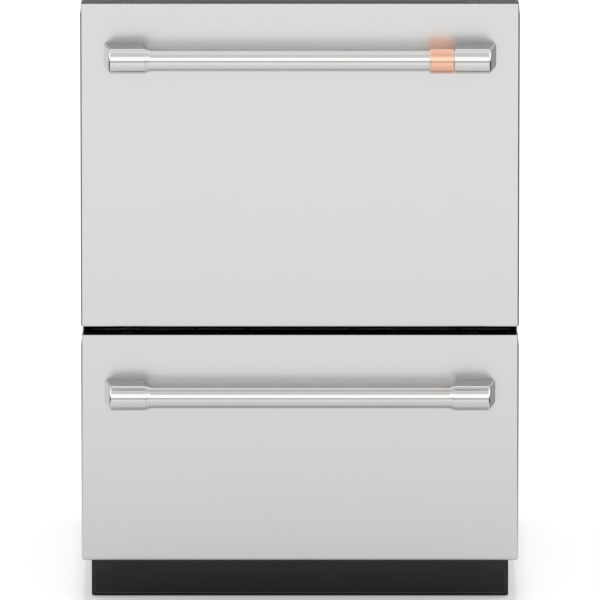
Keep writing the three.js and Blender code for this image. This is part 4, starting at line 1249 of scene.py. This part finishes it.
class DISHWASHER_OT_dispensers(Operator):
    """Build both detergent dispensers with their sliding covers"""
    bl_idname = "dishwasher.dispensers"
    bl_label = "Dispensers"

    def execute(self, context):
        edge = settings().fittings.moulded_edge
        for bay in BAYS:
            from_frame(f"{bay}_detergent_box", f"{bay}_dispenser", "dispenser_plastic", edge)
            node = f"{bay}_dispenser_cover"
            grips = cover_grips(*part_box(node))
            from_frame(f"{bay}_sliding_cover", node, "cover_plastic", edge, 3, grips)
        return {"FINISHED"}


class DISHWASHER_OT_runners(Operator):
    """Build the telescopic runners"""
    bl_idname = "dishwasher.runners"
    bl_label = "Runners"

    def execute(self, context):
        for bay in BAYS:
            for side, _ in SIDES:
                for section in ("outer", "middle", "inner"):
                    node = f"{bay}_runner_{section}_{side}"
                    from_frame(f"{bay}_{section}_rail_{side}", node, "runner_steel", 0.35 * MM, 2)
        return {"FINISHED"}


def lid(bay, sizes):
    """A stiff lid with a grid of pockets on top."""
    node = f"{bay}_lid"
    low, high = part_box(node)
    made = bmesh.new()
    columns, rows, draft = 8, 7, 1.5 * MM
    top = [[made.verts.new((x, y, high.z)) for y in evenly(low.y, high.y, rows + 1)]
           for x in evenly(low.x, high.x, columns + 1)]
    cells = [made.faces.new((top[i][j], top[i + 1][j], top[i + 1][j + 1], top[i][j + 1]))
             for i in range(columns) for j in range(rows)]
    rim = [edge for edge in made.edges if edge.is_boundary]
    skirt = bmesh.ops.extrude_edge_only(made, edges=rim)
    bmesh.ops.translate(made, verts=drawn_points(skirt), vec=(0, 0, low.z - high.z))
    bmesh.ops.holes_fill(made, edges=[edge for edge in made.edges if edge.is_boundary], sides=0)
    bmesh.ops.inset_individual(made, faces=cells, thickness=sizes.pocket_rib / 2)
    bmesh.ops.inset_individual(made, faces=cells, thickness=draft, depth=-sizes.pocket_depth)
    bmesh.ops.recalc_face_normals(made, faces=made.faces)
    soften(shown(f"{bay}_tub_lid", made, "lid_plastic", [node]), sizes.moulded_edge, 2)


def lid_seal(bay):
    """A bulb seal that follows the tub's rim: wide at the lid, and narrow where it touches the tub."""
    node = f"{bay}_lid_seal"
    low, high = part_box(node)
    width, height, corner, edge, ease = 8 * MM, high.z - low.z, 36 * MM, 0.6 * MM, 0.4 * MM
    section = [(width - ease, height), (ease, height), (0, height - edge), (ease, height * 0.5),
               (1.6 * MM, height * 0.2), (3.4 * MM, 0), (4.6 * MM, 0), (6.4 * MM, height * 0.2),
               (width - ease, height * 0.5), (width, height - edge)]
    rings = [at_height(grown(low, high, -inset, corner, 10), low.z + z) for inset, z in section]
    shown(f"{bay}_rim_seal", loft(rings, wrapped=True), "seal_rubber", [node], sharp=math.radians(60))


class DISHWASHER_OT_lids(Operator):
    """Build the lids over the tubs, with their seals"""
    bl_idname = "dishwasher.lids"
    bl_label = "Lids and seals"

    def execute(self, context):
        for bay in BAYS:
            lid(bay, settings().fittings)
            lid_seal(bay)
        return {"FINISHED"}


# ---- Shell ----

SHEET = 1.5 * MM             # thickness of the side sheets and the top
SHEET_CORNER = 3 * MM
LID_CLEARANCE = 0.3 * MM     # between a lid and the ledge under it


def fields_of(low, high, inset, columns, rows, gap, radius, height):
    """A grid of like pressed fields inside a sheet between two corners in (u, v)."""
    width = (high[0] - low[0] - 2 * inset - (columns - 1) * gap) / columns
    tall = (high[1] - low[1] - 2 * inset - (rows - 1) * gap) / rows
    starts = [(low[0] + inset + i * (width + gap), low[1] + inset + j * (tall + gap))
              for i in range(columns) for j in range(rows)]
    return [((u, v), (u + width, v + tall), radius, height) for u, v in starts]


def hole(u, v, long, tall):
    """A slot's low corner, high corner and end radius. It is round where both sizes are the same."""
    return (u - long / 2, v - tall / 2), (u + long / 2, v + tall / 2), min(long, tall) / 2


def shell_screws(name, places, height, sizes):
    repeat(name, screw(sizes.screw_radius, height), places, "runner_steel", "chassis")


def side_sheet(side, sign, sizes):
    """Pressed side sheet with its two lid ledges."""
    node = f"side_panel_{side}"
    low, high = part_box(node)
    outer_x, ledge_x = (low.x, high.x) if sign < 0 else (high.x, low.x)
    ledges = [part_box(f"{bay}_lid")[0].z - LID_CLEARANCE for bay in BAYS]
    parting = min(ledges)
    inset, corner = 34 * MM, 26 * MM
    fields = []
    for bottom, top in ((low.z, parting), (parting, high.z)):
        fields += fields_of((low.y, bottom), (high.y, top), inset, 1, 1, 0, corner, sizes.side_press)
    slot, margin, front, rear = (12 * MM, 6 * MM), 16 * MM, 15 * MM, 40 * MM
    holes = [hole(y, z, *slot) for z in (low.z + margin, parting, high.z - margin)
             for y in (low.y + front, high.y - rear)]
    pilot, under, first, pitch = 4.4 * MM, 8 * MM, 120, 150
    holes += [hole(low.y + (first + pitch * i) * MM, z - under, pilot, pilot)
              for z in ledges for i in range(3)]
    edge = outline(low.y, high.y, low.z, high.z, SHEET_CORNER)
    made = pressed_sheet(edge, fields, holes, sizes.press_slope)
    facing(made, (0, 1, 0), (0, 0, 1), (sign, 0, 0), (outer_x, 0, 0))
    thicken(shown(f"side_sheet_{side}", made, "shell_steel", [node]), SHEET)
    sunk, ledge, rounding = 0.4 * MM, 2 * MM, 0.5 * MM
    inner, outer = sorted((outer_x - sign * sunk, ledge_x))
    bars = [rounded_box((inner, low.y, z - ledge), (outer, high.y, z), rounding) for z in ledges]
    shown(f"lid_ledges_{side}", joined(*bars), "shell_steel", [], "chassis")
    end_gap, inward, head = 40 * MM, 9 * MM, 1.3 * MM
    heights = evenly(low.z + end_gap, high.z - end_gap, 6)
    places = [((outer_x, high.y - inward, z), (sign, 0, 0)) for z in heights]
    shell_screws(f"side_screws_{side}", places, head, sizes)


def back_sheet(sizes):
    """Back sheet with fields pressed inwards, dimples for its screws and openings for the hoses."""
    low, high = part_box("back_panel")
    foot_strip, border, gap, corner = 60 * MM, 30 * MM, 20 * MM, 18 * MM
    fields = fields_of(
        (low.x, low.z + foot_strip), (high.x, high.z), border, 2, 3, gap, corner, -sizes.back_press)
    dimple, depth, margin, slope = 7 * MM, 2.4 * MM, 12 * MM, 3 * MM
    end_gap, second = 14 * MM, 66 * MM
    heights = (low.z + end_gap, low.z + second, high.z - end_gap)
    screws = [(x, z) for x in (low.x + margin, 0.0, high.x - margin) for z in heights]
    screws += [(x, (low.z + high.z) / 2) for x in (low.x + margin, high.x - margin)]
    dimples = [((x - dimple, z - dimple), (x + dimple, z + dimple), dimple, -depth) for x, z in screws]
    hose, hose_aside, hose_up = (60 * MM, 22 * MM), 190 * MM, 34 * MM
    holes = [hole(x, low.z + hose_up, *hose) for x in (-hose_aside, hose_aside)]
    vent, vents, pitch, vent_up = (5 * MM, 24 * MM), 14, 14, 36 * MM
    holes += [hole((i - (vents - 1) / 2) * pitch * MM, low.z + vent_up, *vent) for i in range(vents)]
    edge = outline(low.x, high.x, low.z, high.z, SHEET_CORNER)
    made = pressed_sheet(edge, dimples + fields, holes, slope)
    facing(made, (-1, 0, 0), (0, 0, 1), (0, 1, 0), (0, high.y, 0))
    thicken(shown("back_sheet", made, "shell_steel", ["back_panel"]), high.y - low.y)
    places = [((-x, high.y - depth, z), (0, 1, 0)) for x, z in screws]
    shell_screws("back_screws", places, 2.2 * MM, sizes)


def top_sheet(sizes):
    """Top cover with long pressed fields, a folded front edge and screws along its sides."""
    low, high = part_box("top_cover")
    border, gap, corner = 40 * MM, 26 * MM, 22 * MM
    fields = fields_of((low.x, low.y), (high.x, high.y), border, 4, 1, gap, corner, sizes.top_press)
    slot, inward, slot_aside = (14 * MM, 6 * MM), 18 * MM, 200 * MM
    holes = [hole(x, low.y + inward, *slot) for x in (-slot_aside, 0.0, slot_aside)]
    edge = outline(low.x, high.x, low.y, high.y, SHEET_CORNER)
    made = pressed_sheet(edge, fields, holes, sizes.press_slope)
    facing(made, (1, 0, 0), (0, 1, 0), (0, 0, 1), (0, 0, high.z))
    thicken(shown("top_sheet", made, "shell_steel", ["top_cover"]), SHEET)
    short, under, rounding = 2 * MM, 1 * MM, 0.5 * MM
    flange = rounded_box(
        (low.x + short, low.y, low.z), (high.x - short, low.y + SHEET, high.z - under), rounding)
    shown("top_front_fold", flange, "shell_steel", [], "chassis")
    front, rear, aside = 60 * MM, 30 * MM, high.x - 14 * MM
    places = [((sign * aside, y, high.z), (0, 0, 1))
              for y in evenly(low.y + front, high.y - rear, 4) for sign in (-1, 1)]
    shell_screws("top_screws", places, 2.4 * MM, sizes)


class DISHWASHER_OT_shell(Operator):
    """Build the sheet steel shell"""
    bl_idname = "dishwasher.shell"
    bl_label = "Shell"

    def execute(self, context):
        sizes = settings().shell
        for side, sign in SIDES:
            side_sheet(side, sign, sizes)
        back_sheet(sizes)
        top_sheet(sizes)
        return {"FINISHED"}


# ---- Base, kick plate, feet and fittings ----

def kick_plate(sizes):
    """Glossy plate with a rounded edge, a fine step just inside it and a bead in the step, in lighter plastic
    as a painted highlight.
    """
    low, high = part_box("kick_plate")
    radius, corner, least_corner = sizes.kick_edge, 3 * MM, 0.8 * MM

    def around(inset, corner, y):
        plan = outline(low.x + inset, high.x - inset, low.z + inset, high.z - inset, corner)
        return [(x, y, z) for x, z in plan]

    steps = [(0, high.y), *((radius * v, low.y + radius * (1 - s)) for s, v in quarter_turn(6)),
             *offsets(radius, low.y, (0.8, 0), (1.3, 0.5), (1.7, 0.5))]
    rings = [around(inset, max(corner - inset, least_corner), y) for inset, y in steps]
    shown("gloss_kick_plate", loft(rings), "black_gloss", ["kick_plate"], sharp=math.radians(40))
    # Painted highlight: the bead is lighter, matte plastic, standing in for the light line that the plate's
    # edge catches.
    section = [(2.1 - 0.6 * x, 0.5 - 0.4 * y) for x, y in circle(8, 1)]
    bead = [around(inset, least_corner, y) for inset, y in offsets(radius, low.y, *section)]
    shown("kick_plate_bead", loft(bead, wrapped=True), "liner_plastic", [], "chassis")


def levelling_foot(end, side, sizes):
    """Broad pad, threaded stem and lock nut."""
    node = f"foot_{end}_{side}"
    low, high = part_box(node)
    place = middle_of(low, high)
    radius, pad, stem, nut, nut_height = 22 * MM, 6 * MM, 6 * MM, 10 * MM, 8 * MM
    section = ((-1, 0), (0, 1), (0, 4), (-2, 5.4), (-6, 6), (-12, 6), (-14, 8))
    broad = turned(offsets(radius, low.z, *section), place, segments=ROUND)
    screwed = threaded(stem, low.z + pad, high.z - 1 * MM, sizes.thread_pitch, place)
    lock = six_sided(nut, high.z - nut_height, high.z - 0.1 * MM, place)
    shown(f"levelling_foot_{end}_{side}", joined(broad, screwed, lock), "foot_plastic", [node])


REAR_FITTINGS = (
    # node, piece, material slot, radius of its stem, pitch of the stem's ridges
    ("inlet_valve", "water_inlet", "brass", 11 * MM, 1.8 * MM),
    ("drain_outlet", "drain_spigot", "drain_plastic", 9 * MM, 3.6 * MM),
    ("mains_gland", "cable_gland", "gland_plastic", 7 * MM, 1.5 * MM),
)


def rear_fitting(node, name, slot, stem, pitch):
    """A flange with a nut, and a threaded or barbed spigot that points back."""
    low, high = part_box(node)
    flange = (high.x - low.x) / 2
    place = ((low.x + high.x) / 2, 0, (low.z + high.z) / 2)
    nut_start, flange_end, ridges_start, nut_end = (low.y + out * MM for out in (3.5, 4, 8, 9))
    edge = offsets(flange, low.y, (-0.8, 0), (0, 0.8), (0, 3.2), (-0.8, 4))
    base = turned([*edge, (stem, flange_end)], place, "Y", ROUND)
    nut = six_sided(min(stem + 2 * MM, flange), nut_start, nut_end, place, "Y")
    bore, bore_depth = stem * 0.6, 6 * MM
    tip = [(stem * 0.85, high.y), (bore, high.y), (bore, high.y - bore_depth)]
    spigot = threaded(stem, ridges_start, high.y - 1 * MM, pitch, place, "Y", tip)
    shown(name, joined(base, nut, spigot), slot, [node])


class DISHWASHER_OT_base(Operator):
    """Build the base: tray, kick plate, levelling feet and the fittings at the back"""
    bl_idname = "dishwasher.base"
    bl_label = "Base"

    def execute(self, context):
        sizes = settings().shell
        from_frame("base_pan", "base_tray", "shell_steel", 0.5 * MM, 2)
        kick_plate(sizes)
        for end in ("front", "rear"):
            for side, _ in SIDES:
                levelling_foot(end, side, sizes)
        for fitting in REAR_FITTINGS:
            rear_fitting(*fitting)
        return {"FINISHED"}


# ---- Stage ----

def camera(sizes):
    """A distant camera with a long lens, so that the fronts' uprights stay parallel."""
    lens = bpy.data.cameras.new("camera")
    lens.lens = lens.sensor_width * sizes.camera_distance / sizes.view_width
    lens.clip_end = 1000
    aim = Vector((0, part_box("upper_front_skin")[0].y, sizes.aim_height))
    lift = sizes.camera_elevation
    back = Vector((0, -math.cos(lift), math.sin(lift)))
    made = placed("camera", lens)
    made.location = aim + back * sizes.camera_distance
    made.rotation_euler = (-back).to_track_quat("-Z", "Y").to_euler()
    bpy.context.scene.camera = made


def floor(sizes):
    """Pale floor that stays white in the picture and keeps the machine's shadow.

    What mirrors the floor sees a pale paper before the machine, which widens to the front, and dark
    floor beyond it.
    """
    half = sizes.floor_size / 2
    mesh = bpy.data.meshes.new("floor")
    corners = [(-half, -half, 0), (half, -half, 0), (half, half, 0), (-half, half, 0)]
    mesh.from_pydata(corners, [], [(0, 1, 2, 3)])
    material, wiring, shader = new_material("floor")
    place = wiring.add("ShaderNodeTexCoord").outputs["Object"]
    across = wiring.parts(place)
    aside = wiring.math("MULTIPLY_ADD", across["X"], sizes.paper_shift, wiring.math("ABSOLUTE", across["X"]))
    wedge = wiring.math("MULTIPLY_ADD", across["Y"], sizes.paper_spread, aside)
    soft = 0.3
    far_y, near_y = -2.2, -0.5
    # Painted shade: darker paper close to the machine, seen in reflections and in bounced light.
    near = wiring.remap(across["Y"], far_y, near_y, 1.0, sizes.near_tone)
    paper = wiring.math("MULTIPLY", wiring.remap(wedge, sizes.paper + soft, sizes.paper - soft), near)
    path = wiring.add("ShaderNodeLightPath").outputs
    pale = wiring.math("MAXIMUM", paper, path["Is Camera Ray"])
    beyond, full = (*[0.06] * 3, 1), (*[sizes.floor_tone] * 3, 1)
    mirrored = wiring.math("MAXIMUM", path["Is Glossy Ray"], path["Is Transmission Ray"])
    glow = wiring.math("MULTIPLY", wiring.math("MULTIPLY", mirrored, paper), sizes.floor_glow)
    glow = wiring.math("MULTIPLY_ADD", path["Is Camera Ray"], sizes.white, glow)
    wiring.feed(shader, {
        "Base Color": wiring.mix(pale, beyond, full), "Roughness": 0.9, "Specular IOR Level": 0.0,
        "Emission Color": (1, 1, 1, 1), "Emission Strength": glow})
    mesh.materials.append(material)
    placed("floor", mesh)


SKY = (
    # height of the direction (sine of its elevation), brightness
    (0.00, 0.75), (0.04, 0.42), (0.10, 0.38), (0.17, 0.50), (0.27, 1.22), (0.36, 1.36), (0.70, 1.36),
    (0.80, 0.90), (0.90, 0.72), (1.00, 0.80),
)
SKY_BEHIND = (
    # how far the direction points to the back, share of the brightness
    (0.00, 1.00), (0.40, 1.35), (0.60, 0.80), (1.00, 0.55),
)


def ramp_of(wiring, value, steps):
    """A grey level for each value, drawn between (value, level) steps."""
    ramp = wiring.add("ShaderNodeValToRGB", {"Fac": value})
    points = ramp.color_ramp.elements
    while len(points) < len(steps):
        points.new(0.5)
    for point, (at, level) in zip(points, steps):
        point.position = at
        point.color = (level, level, level, 1)
    return ramp.outputs["Color"]


def sky():
    """Studio light by height: bright bands for the round bars to mirror, white before the camera."""
    world = bpy.data.worlds.new("studio")
    bpy.context.scene.world = world
    world.use_nodes = True
    wiring = Wiring(world.node_tree)
    background = world.node_tree.nodes["Background"]
    direction = wiring.add("ShaderNodeTexCoord").outputs["Generated"]
    parts = wiring.parts(direction)
    by_height, by_depth = (
        ramp_of(wiring, parts[axis], steps) for axis, steps in (("Z", SKY), ("Y", SKY_BEHIND)))
    seen = wiring.add("ShaderNodeLightPath").outputs["Is Camera Ray"]
    light = wiring.mix(seen, wiring.multiplied(by_height, by_depth), (1, 1, 1, 1))
    wiring.feed(background, {"Color": light})


def key_light(sizes):
    """Light from above and a little behind, so that the machine's shadow falls in front of it."""
    light = bpy.data.lights.new("key", "SUN")
    light.energy = sizes.key_strength
    light.angle = sizes.key_width
    made = placed("key", light)
    made.rotation_euler = (sizes.key_elevation - math.pi / 2, 0, 0)
    made.visible_glossy = False


class DISHWASHER_OT_stage(Operator):
    """Set up the camera, the pale floor and the studio light"""
    bl_idname = "dishwasher.stage"
    bl_label = "Stage"

    def execute(self, context):
        sizes = settings().stage
        context.scene.view_settings.view_transform = "Standard"
        camera(sizes)
        floor(sizes)
        sky()
        key_light(sizes)
        return {"FINISHED"}


# ---- Add-on ----

class DishwasherSettings(PropertyGroup):
    """Everything that can be set on the dishwasher."""
    fronts: PointerProperty(type=FrontSettings, name="Fronts")
    handles: PointerProperty(type=HandleSettings, name="Handles")
    tubs: PointerProperty(type=TubSettings, name="Tubs")
    baskets: PointerProperty(type=BasketSettings, name="Baskets")
    fittings: PointerProperty(type=FittingSettings, name="Fittings")
    shell: PointerProperty(type=ShellSettings, name="Shell")
    stage: PointerProperty(type=StageSettings, name="Stage")


OPERATORS = (
    DISHWASHER_OT_stage,
    DISHWASHER_OT_fronts,
    DISHWASHER_OT_handles,
    DISHWASHER_OT_tubs,
    DISHWASHER_OT_baskets,
    DISHWASHER_OT_dispensers,
    DISHWASHER_OT_runners,
    DISHWASHER_OT_lids,
    DISHWASHER_OT_shell,
    DISHWASHER_OT_base,
)


class DISHWASHER_PT_build(Panel):
    """Lists the steps that build the dishwasher"""
    bl_idname = "DISHWASHER_PT_build"
    bl_label = "Dishwasher"
    bl_space_type = "VIEW_3D"
    bl_region_type = "UI"
    bl_category = "Dishwasher"

    def draw(self, context):
        for operator in OPERATORS:
            self.layout.operator(operator.bl_idname)


GROUPS = (
    FrontSettings, HandleSettings, TubSettings, BasketSettings, FittingSettings, ShellSettings, StageSettings,
    DishwasherSettings,
)
CLASSES = (*GROUPS, *OPERATORS, DISHWASHER_PT_build)


def register():
    for made in CLASSES:
        bpy.utils.register_class(made)
    bpy.types.Scene.dishwasher = PointerProperty(type=DishwasherSettings)


def unregister():
    del bpy.types.Scene.dishwasher
    for made in reversed(CLASSES):
        bpy.utils.unregister_class(made)


def main():
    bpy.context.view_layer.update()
    register()
    for operator in OPERATORS:
        getattr(bpy.ops.dishwasher, operator.bl_idname.split(".")[1])()


if __name__ == "__main__":
    main()
